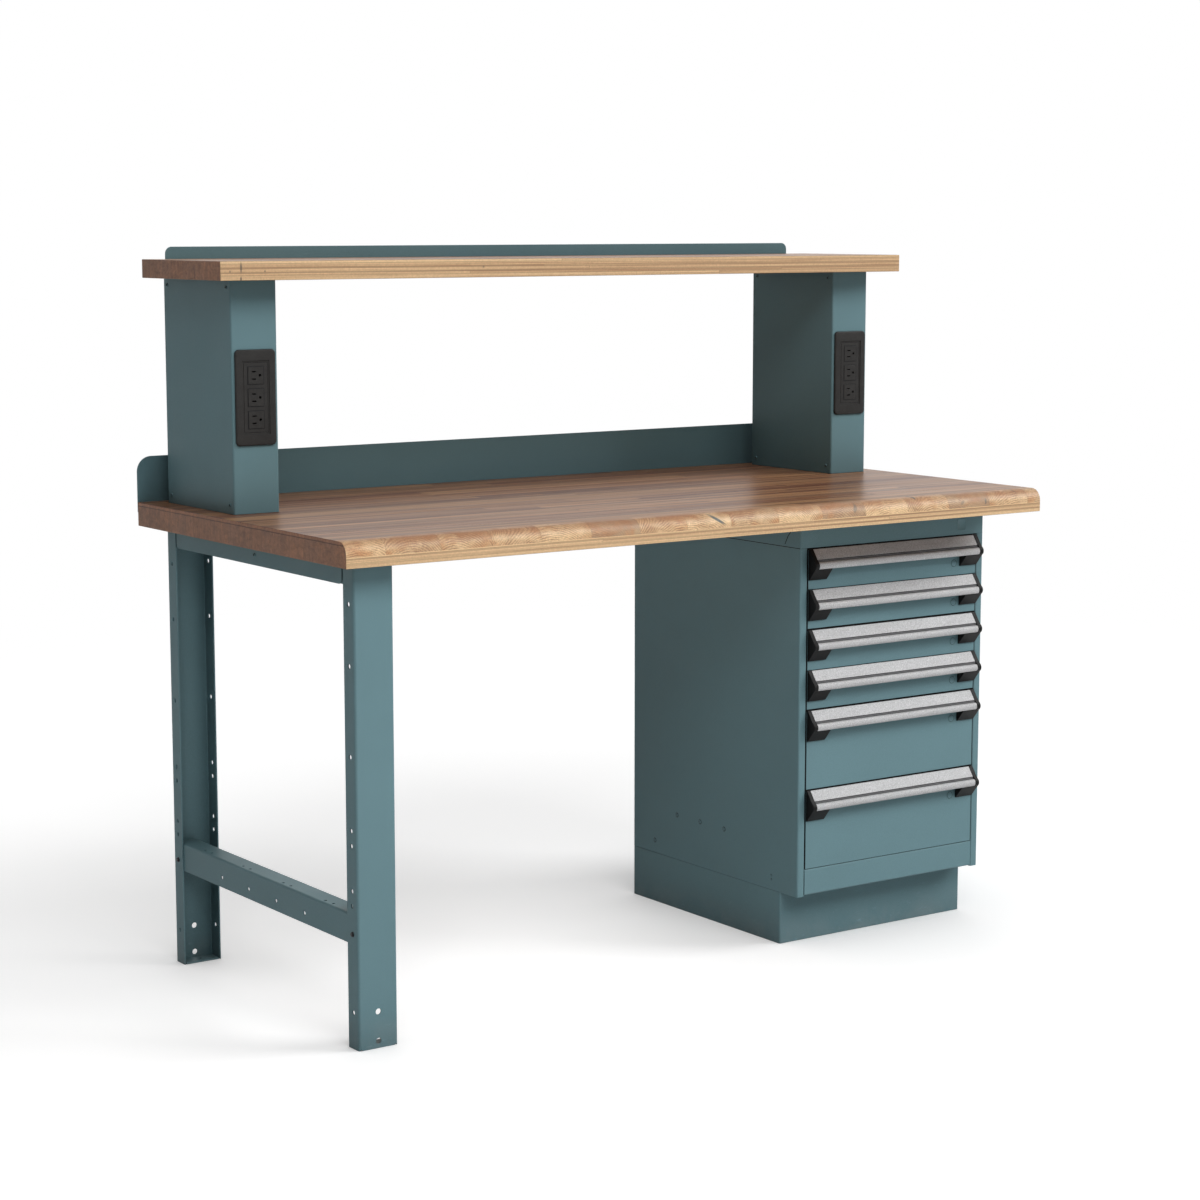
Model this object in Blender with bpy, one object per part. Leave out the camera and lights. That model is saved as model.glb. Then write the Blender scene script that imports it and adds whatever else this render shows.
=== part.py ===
"""Workbench with a drawer cabinet, a riser shelf and two power columns.

Units are metres, +Z is up, +X runs to the user's right and -Y is the front.
The origin is on the floor, under the middle of the bench's outline.
"""

import math

import bmesh
import bpy
from mathutils import Vector

# ---------------------------------------------------------------- driving dimensions

# Clearance left between two pieces that touch on the real bench.
FIT = 0.0003

# Size at which the empties that carry the sliding bodies are drawn.
AXIS_MARK_SIZE = 0.05

# Worktop: laminated maple with a rounded front upper edge.
TOP_WIDTH = 1.524
TOP_DEPTH = 0.762
TOP_THICKNESS = 0.043
TOP_UNDERSIDE = 0.8128
TOP_NOSE_RADIUS = 0.0225

# Upright stop of folded steel along the worktop's rear edge.
TOP_STOP_RISE = 0.0833
TOP_STOP_LAP = 0.018
TOP_STOP_CORNER = 0.028
STOP_SHEET = 0.0015

# Leg frame under the left end: two channels that face each other.
LEG_INSET = 0.0367
LEG_SETBACK = 0.0417
LEG_WIDTH = 0.0744
LEG_FLANGE = 0.0344
LEG_SHEET = 0.0023
LEG_BEND = 0.0022
LEG_HOLE_HEIGHTS = (0.0625, 0.2438, 0.2687, 0.3449, 0.3703, 0.494, 0.6447, 0.7468)
LEG_HOLE_SETBACK = 0.0181
LEG_HOLE = 0.0087
FOOT_SHEET = 0.003
FOOT_HOLE = 0.0107
FOOT_ANCHOR_HEIGHT = 0.0122
FOOT_NOTCH = 0.0042

# Stretcher: a channel, open below, bolted between the two legs.
STRETCHER_TOP = 0.2286
STRETCHER_HEIGHT = 0.0508
STRETCHER_WIDTH = 0.0405
STRETCHER_SHEET = 0.002
STRETCHER_HOLE = 0.0082
STRETCHER_HOLE_DROP = 0.0325
STRETCHER_HOLE_PITCH = 0.1016
STRETCHER_PAIR_PITCH = 0.149
STRETCHER_PAIR_GAP = 0.0267
STRETCHER_PAIR_INSET = 0.0095
STRETCHER_PAIR_HOLE = 0.0062

# Angle that carries the worktop on the legs.
SUPPORT_SHEET = 0.0023
SUPPORT_DROP = 0.0356
SUPPORT_END_GAP = 0.0045
SUPPORT_CORNER = 0.009
SUPPORT_HOLE = 0.0065

# Drawer cabinet under the right end.
CABINET_WIDTH = 0.4572
CABINET_DEPTH = 0.527
CABINET_SETBACK = 0.1176
CABINET_INSET = 0.0367
CABINET_SHEET = 0.0012
CABINET_BEND = 0.002
CAP_BAND = 0.0502
POST_FACE = 0.0173
POST_RETURN = 0.016
REAR_LIP = 0.014
BASE_HEIGHT = 0.0999
BASE_RECESS = 0.0508
BASE_SHEET = 0.0015
BASE_LIP = 0.02
BOTTOM_RAIL_RISE = 0.0018
BOTTOM_RAIL_RETURN = 0.012

# Drawers, from the top down. Each takes whole modules of the cabinet's height.
DRAWER_MODULE = 0.0762
DRAWER_MODULES = (1, 1, 1, 1, 2, 2)
DRAWER_BOTTOM_GAPS = (-0.0007, 0.0017, -0.0007, 0.0011, 0.0008, 0.0008)
DRAWER_TOP_GAP = 0.0024
DRAWER_SIDE_GAP = 0.002
DRAWER_STACK_GAP = 0.0008
DRAWER_SHEET = 0.0012
DRAWER_FRONT_DEPTH = 0.014
DRAWER_TRAY_DEPTH = 0.46
DRAWER_TRAY_LIFT = 0.0046
DRAWER_WALL_DROP = 0.0125
DRAWER_TRAVEL = 0.452

# Telescopic slides: a fixed channel, a floating member and a channel on the drawer.
SLIDE_CHANNEL = 0.0262
SLIDE_SHEET = 0.0012
SLIDE_LIP = 0.005
SLIDE_TRACK = 0.0065
SLIDE_HEIGHT_IN_MODULE = 0.03
SLIDE_PLAY = 0.0009
SLIDE_NECK = 0.0078
SLIDE_START = 0.024
SLIDE_MEMBER_LENGTH = 0.45
SLIDE_CHANNEL_LENGTH = 0.48
UPRIGHT_WIDTH = 0.03
UPRIGHT_SHEET = 0.0015

# Full-width drawer pull: an aluminium extrusion between two moulded end caps.
# Its reaches run forward from the drawer's face, its drops down from the module's top.
PULL_CAP_WIDTH = 0.0083
PULL_TOP_DROP = 0.0019
PULL_WALL = 0.0022
PULL_CREST = 0.0024
PULL_SLOPE_REACH = 0.015
PULL_SLOPE_DROP = 0.0201
PULL_GROOVE_DROP = 0.0246
PULL_GROOVE_DEPTH = 0.003
PULL_GROOVE_LEAD = 0.0009
PULL_NOSE_REACH = 0.023
PULL_NOSE_DROP = 0.0383
PULL_NOSE_THICKNESS = 0.0078
PULL_NOSE_ROUND = 0.0051
PULL_PLATE_DROP = 0.033
PULL_CAP_RIM = 0.0007
PULL_LUG_WIDTH = 0.042
PULL_LUG_DROP = 0.0597
PULL_LUG_TOE = 0.0026
PULL_LUG_SETBACK = 0.0035

# Riser: two sheet-steel columns on the worktop that carry a maple shelf.
COLUMN_INSET = 0.0432
COLUMN_WIDTH = 0.0892
COLUMN_DEPTH = 0.2592
COLUMN_HEIGHT = 0.4064
COLUMN_REAR_INSET = 0.0367
COLUMN_SHEET = 0.0015
COLUMN_BEND = 0.0018
COLUMN_REAR_LIP = 0.015
COLUMN_END_PLATE = 0.002
COVER_SHEET = 0.0012
COVER_MARGIN = 0.004
GLAND_RADIUS = 0.011
GLAND_REACH = 0.012
GLAND_HEIGHT = 0.045
SHELF_DEPTH = 0.3048
SHELF_THICKNESS = 0.0331
SHELF_REAR_INSET = 0.0404
SHELF_STOP_INSET = 0.0464
SHELF_STOP_RISE = 0.022
SHELF_STOP_CORNER = 0.0127
SHELF_STOP_MARGIN = 0.003

# Power outlets: a moulded plate over a block of three sockets on each column.
PLATE_WIDTH = 0.0785
PLATE_HEIGHT = 0.1669
PLATE_THICKNESS = 0.0042
PLATE_CORNER = 0.0075
BLOCK_WIDTH = 0.046
BLOCK_HEIGHT = 0.1214
BLOCK_DEPTH = 0.034
BLOCK_SINK = 0.0012
SOCKET_SIZE = 0.0298
SOCKET_PITCH = 0.0386
SOCKET_RAISE = 0.0009
BLADE_LENGTH = 0.008
BLADE_WIDTH = 0.0022
BLADE_SPACING = 0.0127
BLADE_OFFSET = 0.0038
EARTH_OFFSET = 0.0081
EARTH_DIAMETER = 0.005
SOCKET_DEPTH = 0.015

# ---------------------------------------------------------------- derived places

LEFT = -TOP_WIDTH / 2
RIGHT = TOP_WIDTH / 2
FRONT = -(TOP_DEPTH + FIT + STOP_SHEET) / 2
BACK = FRONT + TOP_DEPTH
TOP_FACE = TOP_UNDERSIDE + TOP_THICKNESS

LEG_LEFT = LEFT + LEG_INSET
LEG_RIGHT = LEG_LEFT + LEG_WIDTH
LEG_FRONT = FRONT + LEG_SETBACK
LEG_BACK = BACK - LEG_SETBACK
LEG_TOP = TOP_UNDERSIDE - SUPPORT_SHEET - 2 * FIT

CABINET_RIGHT = RIGHT - CABINET_INSET
CABINET_LEFT = CABINET_RIGHT - CABINET_WIDTH
CABINET_MIDDLE = (CABINET_LEFT + CABINET_RIGHT) / 2
CABINET_FRONT = FRONT + CABINET_SETBACK
CABINET_BACK = CABINET_FRONT + CABINET_DEPTH
CABINET_FLOOR = BASE_HEIGHT + FIT
OPENING_TOP = TOP_UNDERSIDE - CAP_BAND
STACK_TOP = OPENING_TOP - DRAWER_STACK_GAP
OPENING_BOTTOM = STACK_TOP - DRAWER_MODULE * sum(DRAWER_MODULES)
OPENING_HALF = CABINET_WIDTH / 2 - POST_FACE

COLUMN_BACK = BACK - COLUMN_REAR_INSET
COLUMN_FRONT = COLUMN_BACK - COLUMN_DEPTH
COLUMN_FOOT = TOP_FACE + FIT
COLUMN_TOP = TOP_FACE + COLUMN_HEIGHT
COLUMN_CENTRE = RIGHT - COLUMN_INSET - COLUMN_WIDTH / 2
OUTLET_HEIGHT = TOP_FACE + COLUMN_HEIGHT / 2

SHELF_BACK = BACK - SHELF_REAR_INSET
SHELF_FRONT = SHELF_BACK - SHELF_DEPTH
SHELF_FLOOR = COLUMN_TOP + FIT
SHELF_FACE = SHELF_FLOOR + SHELF_THICKNESS

# Distances from the cabinet's middle to the parts of one slide, working outwards.
FIXED_WEB = OPENING_HALF - FIT
FIXED_MOUTH = FIXED_WEB - SLIDE_SHEET - SLIDE_TRACK
DRAWER_MOUTH = FIXED_MOUTH - 2 * SLIDE_PLAY
TRAY_HALF = DRAWER_MOUTH - SLIDE_TRACK - SLIDE_SHEET

# ---------------------------------------------------------------- mesh helpers


def plane_to_space(axis, a, b, along):
    """A point of an outline in the plane across axis, at a distance along it."""
    if axis == "X":
        return Vector((along, a, b))
    if axis == "Y":
        return Vector((a, along, b))
    return Vector((a, b, along))


def add_prism(bm, outline, axis, low, high):
    """Adds the closed solid that an outline sweeps from low to high along an axis."""
    ends = []
    for along in (low, high):
        ends.append([bm.verts.new(plane_to_space(axis, a, b, along)) for a, b in outline])
    faces = [bm.faces.new(ends[0]), bm.faces.new(ends[1])]
    for i in range(len(outline)):
        j = (i + 1) % len(outline)
        faces.append(bm.faces.new((ends[0][i], ends[0][j], ends[1][j], ends[1][i])))
    bmesh.ops.recalc_face_normals(bm, faces=faces)


def add_box(bm, low, high):
    outline = rectangle(low[0], low[1], high[0], high[1])
    add_prism(bm, outline, "Z", low[2], high[2])


def add_rod(bm, axis, centre, radius, low, high, sides=12):
    """Adds a round bar; centre is its middle in the plane across the axis."""
    turn = math.pi / sides
    outline = arc(centre, radius, turn, turn + 2 * math.pi, sides)[:-1]
    add_prism(bm, outline, axis, low, high)


def arc(centre, radius, start, end, steps):
    points = []
    for i in range(steps + 1):
        angle = start + (end - start) * i / steps
        points.append((centre[0] + radius * math.cos(angle), centre[1] + radius * math.sin(angle)))
    return points


def rectangle(a0, b0, a1, b1):
    return [(a0, b0), (a1, b0), (a1, b1), (a0, b1)]


def rounded_rectangle(a0, b0, a1, b1, radii, steps=5):
    """Outline with its own radius at each corner, from the low corner anticlockwise."""
    corners = ((a0, b0, 1, 1), (a1, b0, -1, 1), (a1, b1, -1, -1), (a0, b1, 1, -1))
    outline = []
    for k, (a, b, da, db) in enumerate(corners):
        radius = radii[k]
        if radius == 0:
            outline.append((a, b))
            continue
        start = math.pi + k * math.pi / 2
        centre = (a + da * radius, b + db * radius)
        outline += arc(centre, radius, start, start + math.pi / 2, steps)
    return outline


def bent_sheet(path, thickness, bend, steps=3):
    """Outline of sheet metal folded along a path, with its thickness on the path's left.

    bend is the radius inside each fold; 0 gives square folds.
    """
    near = [path[0]]
    far = [offset_point(path[0], direction(path[0], path[1]), thickness)]
    for before, here, after in zip(path, path[1:], path[2:]):
        first = direction(before, here)
        second = direction(here, after)
        turn = first[0] * second[1] - first[1] * second[0]
        if bend == 0:
            near.append(here)
            shift = (-first[1] - second[1], first[0] + second[0])
            far.append((here[0] + thickness * shift[0], here[1] + thickness * shift[1]))
            continue
        near_radius = bend + thickness if turn > 0 else bend
        far_radius = bend if turn > 0 else bend + thickness
        side = math.copysign(1.0, turn)
        start = (here[0] - first[0] * near_radius, here[1] - first[1] * near_radius)
        centre = offset_point(start, first, side * near_radius)
        angle = math.atan2(start[1] - centre[1], start[0] - centre[0])
        near += arc(centre, near_radius, angle, angle + side * math.pi / 2, steps)
        far += arc(centre, far_radius, angle, angle + side * math.pi / 2, steps)
    near.append(path[-1])
    far.append(offset_point(path[-1], direction(path[-2], path[-1]), thickness))
    return near + far[::-1]


def direction(start, end):
    length = math.hypot(end[0] - start[0], end[1] - start[1])
    return ((end[0] - start[0]) / length, (end[1] - start[1]) / length)


def offset_point(point, heading, distance):
    """The point moved to the left of a heading."""
    return (point[0] - heading[1] * distance, point[1] + heading[0] * distance)


def combine(base, tool, operation):
    """Boolean of two bmeshes, both freed; returns the result as a bmesh."""
    holders = []
    for bm in (base, tool):
        mesh = bpy.data.meshes.new("working")
        bm.to_mesh(mesh)
        bm.free()
        holder = bpy.data.objects.new("working", mesh)
        bpy.context.scene.collection.objects.link(holder)
        holders.append(holder)
    modifier = holders[0].modifiers.new("combine", "BOOLEAN")
    modifier.operation = operation
    modifier.solver = "EXACT"
    modifier.object = holders[1]
    graph = bpy.context.evaluated_depsgraph_get()
    result = bmesh.new()
    result.from_object(holders[0], graph)
    for holder in holders:
        mesh = holder.data
        bpy.data.objects.remove(holder)
        bpy.data.meshes.remove(mesh)
    return result


def cut(base, tool):
    return combine(base, tool, "DIFFERENCE")


def join(base, tool):
    return combine(base, tool, "UNION")


def mirrored(bm, middle=0.0):
    """Reflects a bmesh in the plane x = middle and keeps its faces outward."""
    for vert in bm.verts:
        vert.co.x = 2 * middle - vert.co.x
    bmesh.ops.reverse_faces(bm, faces=bm.faces)
    return bm


# ---------------------------------------------------------------- scene helpers


def clear_scene():
    for obj in list(bpy.data.objects):
        bpy.data.objects.remove(obj)


def make_material(name, color, roughness, metallic=0.0):
    material = bpy.data.materials.new(name)
    material.use_nodes = True
    shader = material.node_tree.nodes["Principled BSDF"]
    shader.inputs["Base Color"].default_value = (*color, 1.0)
    shader.inputs["Roughness"].default_value = roughness
    shader.inputs["Metallic"].default_value = metallic
    return material


def make_materials():
    return {
        "maple": make_material("maple", (0.42, 0.27, 0.17), 0.45),
        "paint": make_material("paint", (0.12, 0.2, 0.215), 0.45),
        "steel": make_material("steel", (0.55, 0.56, 0.57), 0.35, 1.0),
        "aluminium": make_material("aluminium", (0.6, 0.6, 0.61), 0.35, 1.0),
        "plastic": make_material("plastic", (0.03, 0.028, 0.027), 0.5),
    }


def place(name, bm, material, carrier=None):
    """Makes the named object of a bmesh given in world places, riding on a carrier."""
    bmesh.ops.remove_doubles(bm, verts=bm.verts, dist=1e-7)
    if carrier is not None:
        bmesh.ops.translate(bm, vec=-carrier.location, verts=bm.verts)
    mesh = bpy.data.meshes.new(name)
    bm.to_mesh(mesh)
    bm.free()
    mesh.shade_smooth()
    mesh.set_sharp_from_angle(angle=math.radians(35))
    mesh.materials.append(material)
    obj = bpy.data.objects.new(name, mesh)
    obj.parent = carrier
    bpy.context.scene.collection.objects.link(obj)
    return obj


def make_carrier(name, location):
    """An empty on a sliding body's axis; the body's pieces are its children."""
    carrier = bpy.data.objects.new(name, None)
    carrier.empty_display_size = AXIS_MARK_SIZE
    carrier.location = location
    bpy.context.scene.collection.objects.link(carrier)
    return carrier


# ---------------------------------------------------------------- worktop


def make_worktop(materials):
    bm = bmesh.new()
    centre = (FRONT + TOP_NOSE_RADIUS, TOP_FACE - TOP_NOSE_RADIUS)
    outline = [(FRONT, TOP_UNDERSIDE), (BACK, TOP_UNDERSIDE), (BACK, TOP_FACE)]
    outline += arc(centre, TOP_NOSE_RADIUS, math.pi / 2, math.pi, 10)
    add_prism(bm, outline, "X", LEFT, RIGHT)
    place("worktop", bm, materials["maple"])

    bm = bmesh.new()
    radii = (0, 0, TOP_STOP_CORNER, TOP_STOP_CORNER)
    low = TOP_FACE - TOP_STOP_LAP
    outline = rounded_rectangle(LEFT, low, RIGHT, TOP_FACE + TOP_STOP_RISE, radii, 10)
    add_prism(bm, outline, "Y", BACK + FIT, BACK + FIT + STOP_SHEET)
    place("worktop_backstop", bm, materials["paint"])


# ---------------------------------------------------------------- leg frame


def make_leg(name, web_face, inward, material):
    """A channel whose web faces away from the frame; inward is +1 or -1 along Y."""
    flange_end = web_face + inward * LEG_FLANGE
    bm = bmesh.new()
    path = [
        (LEG_LEFT, flange_end),
        (LEG_LEFT, web_face),
        (LEG_RIGHT, web_face),
        (LEG_RIGHT, flange_end),
    ]
    if inward < 0:
        path.reverse()
    add_prism(bm, bent_sheet(path, LEG_SHEET, LEG_BEND), "Z", 0, LEG_TOP)

    foot = bmesh.new()
    foot_edges = sorted((web_face + inward * LEG_SHEET / 2, flange_end))
    clear = LEG_SHEET + LEG_BEND
    low = (LEG_LEFT + clear, foot_edges[0], 0)
    add_box(foot, low, (LEG_RIGHT - clear, foot_edges[1], FOOT_SHEET))
    bm = join(bm, foot)

    holes = bmesh.new()
    row = web_face + inward * LEG_HOLE_SETBACK
    bolt_height = STRETCHER_TOP - STRETCHER_HOLE_DROP
    flange_span = (LEG_LEFT - LEG_SHEET, LEG_RIGHT + LEG_SHEET)
    for height in LEG_HOLE_HEIGHTS + (bolt_height,):
        add_rod(holes, "X", (row, height), LEG_HOLE / 2, *flange_span, sides=10)
    middle = (LEG_LEFT + LEG_RIGHT) / 2
    web_span = sorted((web_face - inward * LEG_SHEET, web_face + inward * 2 * LEG_SHEET))
    for height in (FOOT_ANCHOR_HEIGHT, LEG_HOLE_HEIGHTS[0]):
        add_rod(holes, "Y", (middle, height), FOOT_HOLE / 2, *web_span)
    for x in (LEG_LEFT + LEG_SHEET, LEG_RIGHT - LEG_SHEET):
        inset = math.copysign(FOOT_NOTCH / 2, middle - x)
        add_rod(holes, "Y", (x + inset, 0), FOOT_NOTCH / 2, *web_span, sides=8)
    foot_middle = (middle, web_face + inward * (LEG_SHEET + LEG_FLANGE) / 2)
    add_rod(holes, "Z", foot_middle, FOOT_HOLE / 2, -FOOT_SHEET, 2 * FOOT_SHEET)
    place(name, cut(bm, holes), material)


def make_stretcher(material):
    left = LEG_LEFT + LEG_SHEET + FIT
    right = left + STRETCHER_WIDTH
    front = LEG_FRONT + LEG_SHEET + LEG_BEND
    back = LEG_BACK - LEG_SHEET - LEG_BEND
    low = STRETCHER_TOP - STRETCHER_HEIGHT
    bm = bmesh.new()
    path = [(right, low), (right, STRETCHER_TOP), (left, STRETCHER_TOP), (left, low)]
    add_prism(bm, bent_sheet(path, STRETCHER_SHEET, STRETCHER_SHEET), "Y", front, back)

    holes = bmesh.new()
    middle = (front + back) / 2
    height = STRETCHER_TOP - STRETCHER_HOLE_DROP
    rows = [middle + (i - 1.5) * STRETCHER_HOLE_PITCH for i in range(4)]
    rows += [LEG_FRONT + LEG_HOLE_SETBACK, LEG_BACK - LEG_HOLE_SETBACK]
    for y in rows:
        radius = STRETCHER_HOLE / 2
        add_rod(holes, "X", (y, height), radius, left - FIT, right + FIT, sides=10)
    line = left + STRETCHER_PAIR_INSET
    for i in range(4):
        pair = middle + (i - 1.5) * STRETCHER_PAIR_PITCH
        for y in (pair - STRETCHER_PAIR_GAP / 2, pair + STRETCHER_PAIR_GAP / 2):
            span = (STRETCHER_TOP - 2 * STRETCHER_SHEET, STRETCHER_TOP + FIT)
            add_rod(holes, "Z", (line, y), STRETCHER_PAIR_HOLE / 2, *span, sides=8)
    place("leg_stretcher", cut(bm, holes), material)


def make_support(material):
    top = TOP_UNDERSIDE - FIT
    bm = bmesh.new()
    low = (LEG_LEFT, LEG_FRONT, top - SUPPORT_SHEET)
    add_box(bm, low, (LEG_RIGHT, LEG_BACK, top))
    apron = bmesh.new()
    ends = (
        LEG_FRONT + LEG_FLANGE + SUPPORT_END_GAP,
        LEG_BACK - LEG_FLANGE - SUPPORT_END_GAP,
    )
    radii = (SUPPORT_CORNER, SUPPORT_CORNER, 0, 0)
    outline = rounded_rectangle(
        ends[0], TOP_UNDERSIDE - SUPPORT_DROP, ends[1], top - SUPPORT_SHEET / 2, radii
    )
    add_prism(apron, outline, "X", LEG_LEFT, LEG_LEFT + SUPPORT_SHEET)
    bm = join(bm, apron)
    hole = bmesh.new()
    centre = ((ends[0] + ends[1]) / 2, TOP_UNDERSIDE - SUPPORT_DROP / 2)
    span = (LEG_LEFT - SUPPORT_SHEET, LEG_LEFT + 2 * SUPPORT_SHEET)
    add_rod(hole, "X", centre, SUPPORT_HOLE / 2, *span, sides=8)
    place("leg_top_angle", cut(bm, hole), material)


def make_leg_frame(materials):
    make_leg("front_leg", LEG_FRONT, 1, materials["paint"])
    make_leg("rear_leg", LEG_BACK, -1, materials["paint"])
    make_stretcher(materials["paint"])
    make_support(materials["paint"])


# ---------------------------------------------------------------- cabinet


def make_cabinet_side(name, is_right, material):
    """A side sheet with its front post and rear lip folded from the same blank."""
    bm = bmesh.new()
    post = CABINET_LEFT + POST_FACE
    path = [
        (CABINET_LEFT + REAR_LIP, CABINET_BACK),
        (CABINET_LEFT, CABINET_BACK),
        (CABINET_LEFT, CABINET_FRONT),
        (post, CABINET_FRONT),
        (post, CABINET_FRONT + POST_RETURN),
    ]
    outline = bent_sheet(path, CABINET_SHEET, CABINET_BEND)
    add_prism(bm, outline, "Z", CABINET_FLOOR, OPENING_TOP - FIT)
    if is_right:
        mirrored(bm, CABINET_MIDDLE)
    place(name, bm, material)


def make_cabinet_back(material):
    bm = bmesh.new()
    inset = CABINET_SHEET + CABINET_BEND
    setback = CABINET_SHEET + FIT
    low = (CABINET_LEFT + inset, CABINET_BACK - 2 * setback, CABINET_FLOOR)
    high = (CABINET_RIGHT - inset, CABINET_BACK - setback - FIT, OPENING_TOP - FIT)
    add_box(bm, low, high)
    place("cabinet_back", bm, material)


def make_cabinet_cap(material):
    """A downturned pan that closes the cabinet and forms its header."""
    low = OPENING_TOP
    high = TOP_UNDERSIDE - FIT
    outer_radius = CABINET_BEND + CABINET_SHEET
    bm = bmesh.new()
    bounds = (CABINET_LEFT, CABINET_FRONT, CABINET_RIGHT, CABINET_BACK)
    add_prism(bm, rounded_rectangle(*bounds, [outer_radius] * 4, 3), "Z", low, high)
    hollow = bmesh.new()
    t = CABINET_SHEET
    bounds = (bounds[0] + t, bounds[1] + t, bounds[2] - t, bounds[3] - t)
    add_prism(hollow, rounded_rectangle(*bounds, [CABINET_BEND] * 4, 3), "Z", low - t, high - t)
    place("cabinet_cap", cut(bm, hollow), material)


def make_cabinet_bottom(material):
    """The floor pan; its front folds up into the rail below the drawers."""
    floor = CABINET_FLOOR + BOTTOM_RAIL_RISE
    half = OPENING_HALF - FIT
    wide_half = CABINET_WIDTH / 2 - CABINET_SHEET - FIT
    rear = CABINET_BACK - 2 * (CABINET_SHEET + FIT) - FIT
    rail_top = OPENING_BOTTOM
    bm = bmesh.new()
    path = [
        (rear, floor),
        (CABINET_FRONT, floor),
        (CABINET_FRONT, rail_top),
        (CABINET_FRONT + BOTTOM_RAIL_RETURN, rail_top),
    ]
    outline = bent_sheet(path[::-1], CABINET_SHEET, CABINET_BEND)
    add_prism(bm, outline, "X", CABINET_MIDDLE - half, CABINET_MIDDLE + half)
    pan = bmesh.new()
    low = (CABINET_MIDDLE - wide_half, CABINET_FRONT + POST_RETURN + FIT, floor)
    add_box(pan, low, (CABINET_MIDDLE + wide_half, rear, floor + CABINET_SHEET))
    place("cabinet_bottom", join(bm, pan), material)


def make_cabinet_base(material):
    """Recessed plinth: four walls with a lip turned in at the top."""
    front = CABINET_FRONT + BASE_RECESS
    bounds = (CABINET_LEFT, front, CABINET_RIGHT, CABINET_BACK)
    outer_radius = BASE_SHEET + CABINET_BEND
    bm = bmesh.new()
    add_prism(bm, rounded_rectangle(*bounds, [outer_radius] * 4, 3), "Z", 0, BASE_HEIGHT)
    t = BASE_SHEET
    inner = (bounds[0] + t, bounds[1] + t, bounds[2] - t, bounds[3] - t)
    hollow = bmesh.new()
    radii = [CABINET_BEND] * 4
    add_prism(hollow, rounded_rectangle(*inner, radii, 3), "Z", -t, BASE_HEIGHT - t)
    bm = cut(bm, hollow)
    well = bmesh.new()
    lip = BASE_LIP
    mouth = (bounds[0] + lip, bounds[1] + lip, bounds[2] - lip, bounds[3] - lip)
    add_prism(well, rectangle(*mouth), "Z", BASE_HEIGHT - 2 * t, BASE_HEIGHT + t)
    place("cabinet_base", cut(bm, well), material)


def make_cabinet(materials):
    paint = materials["paint"]
    make_cabinet_side("cabinet_side_left", False, paint)
    make_cabinet_side("cabinet_side_right", True, paint)
    make_cabinet_back(paint)
    make_cabinet_cap(paint)
    make_cabinet_bottom(paint)
    make_cabinet_base(paint)


# ---------------------------------------------------------------- slides and drawers


def drawer_spans():
    """(bottom, top) of each drawer's module, from the top down."""
    spans = []
    top = STACK_TOP
    for modules in DRAWER_MODULES:
        bottom = top - modules * DRAWER_MODULE
        spans.append((bottom, top))
        top = bottom
    return spans


def channel_outline(mouth, web, height):
    """A lipped channel across Y: its mouth at one x, its web's outer face at another.

    The web is farther from the cabinet's middle than the mouth, or nearer to it.
    """
    half = SLIDE_CHANNEL / 2
    path = [
        (mouth, height - half + SLIDE_LIP),
        (mouth, height - half),
        (web, height - half),
        (web, height + half),
        (mouth, height + half),
        (mouth, height + half - SLIDE_LIP),
    ]
    if web < mouth:
        path.reverse()
    return bent_sheet(path, SLIDE_SHEET, 0)


def member_outline(height):
    """The floating member: two heads that run in the channels, joined by a neck."""
    outer = FIXED_WEB - SLIDE_SHEET - SLIDE_PLAY
    outer_shoulder = FIXED_MOUTH + SLIDE_SHEET + SLIDE_PLAY
    inner_shoulder = DRAWER_MOUTH - SLIDE_SHEET - SLIDE_PLAY
    inner = TRAY_HALF + SLIDE_SHEET + SLIDE_PLAY
    head = SLIDE_CHANNEL / 2 - SLIDE_SHEET - SLIDE_PLAY
    neck = SLIDE_NECK / 2
    right = [
        (inner, head),
        (inner, -head),
        (inner_shoulder, -head),
        (inner_shoulder, -neck),
        (outer_shoulder, -neck),
        (outer_shoulder, -head),
        (outer, -head),
        (outer, head),
        (outer_shoulder, head),
        (outer_shoulder, neck),
        (inner_shoulder, neck),
        (inner_shoulder, head),
    ]
    return [(CABINET_MIDDLE + a, height + b) for a, b in right]


def make_slide_rack(name, is_right, material):
    """Two uprights against the cabinet's side with a fixed channel for each drawer."""
    start = CABINET_FRONT + SLIDE_START
    end = start + SLIDE_CHANNEL_LENGTH
    low = CABINET_FLOOR + BOTTOM_RAIL_RISE + CABINET_SHEET + FIT
    high = TOP_UNDERSIDE - CABINET_SHEET - 2 * FIT
    wall = CABINET_MIDDLE + CABINET_WIDTH / 2 - CABINET_SHEET - FIT
    web = CABINET_MIDDLE + FIXED_WEB
    uprights = bmesh.new()
    for edge in (start, end - UPRIGHT_WIDTH):
        path = [
            (web, edge),
            (wall, edge),
            (wall, edge + UPRIGHT_WIDTH),
            (web, edge + UPRIGHT_WIDTH),
        ]
        add_prism(uprights, bent_sheet(path, UPRIGHT_SHEET, 0), "Z", low, high)
    channels = bmesh.new()
    for bottom, _ in drawer_spans():
        height = bottom + SLIDE_HEIGHT_IN_MODULE
        outline = channel_outline(CABINET_MIDDLE + FIXED_MOUTH, web + FIT, height)
        add_prism(channels, outline, "Y", start, end)
    bm = join(uprights, channels)
    if not is_right:
        mirrored(bm, CABINET_MIDDLE)
    place(name, bm, material)


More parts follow.
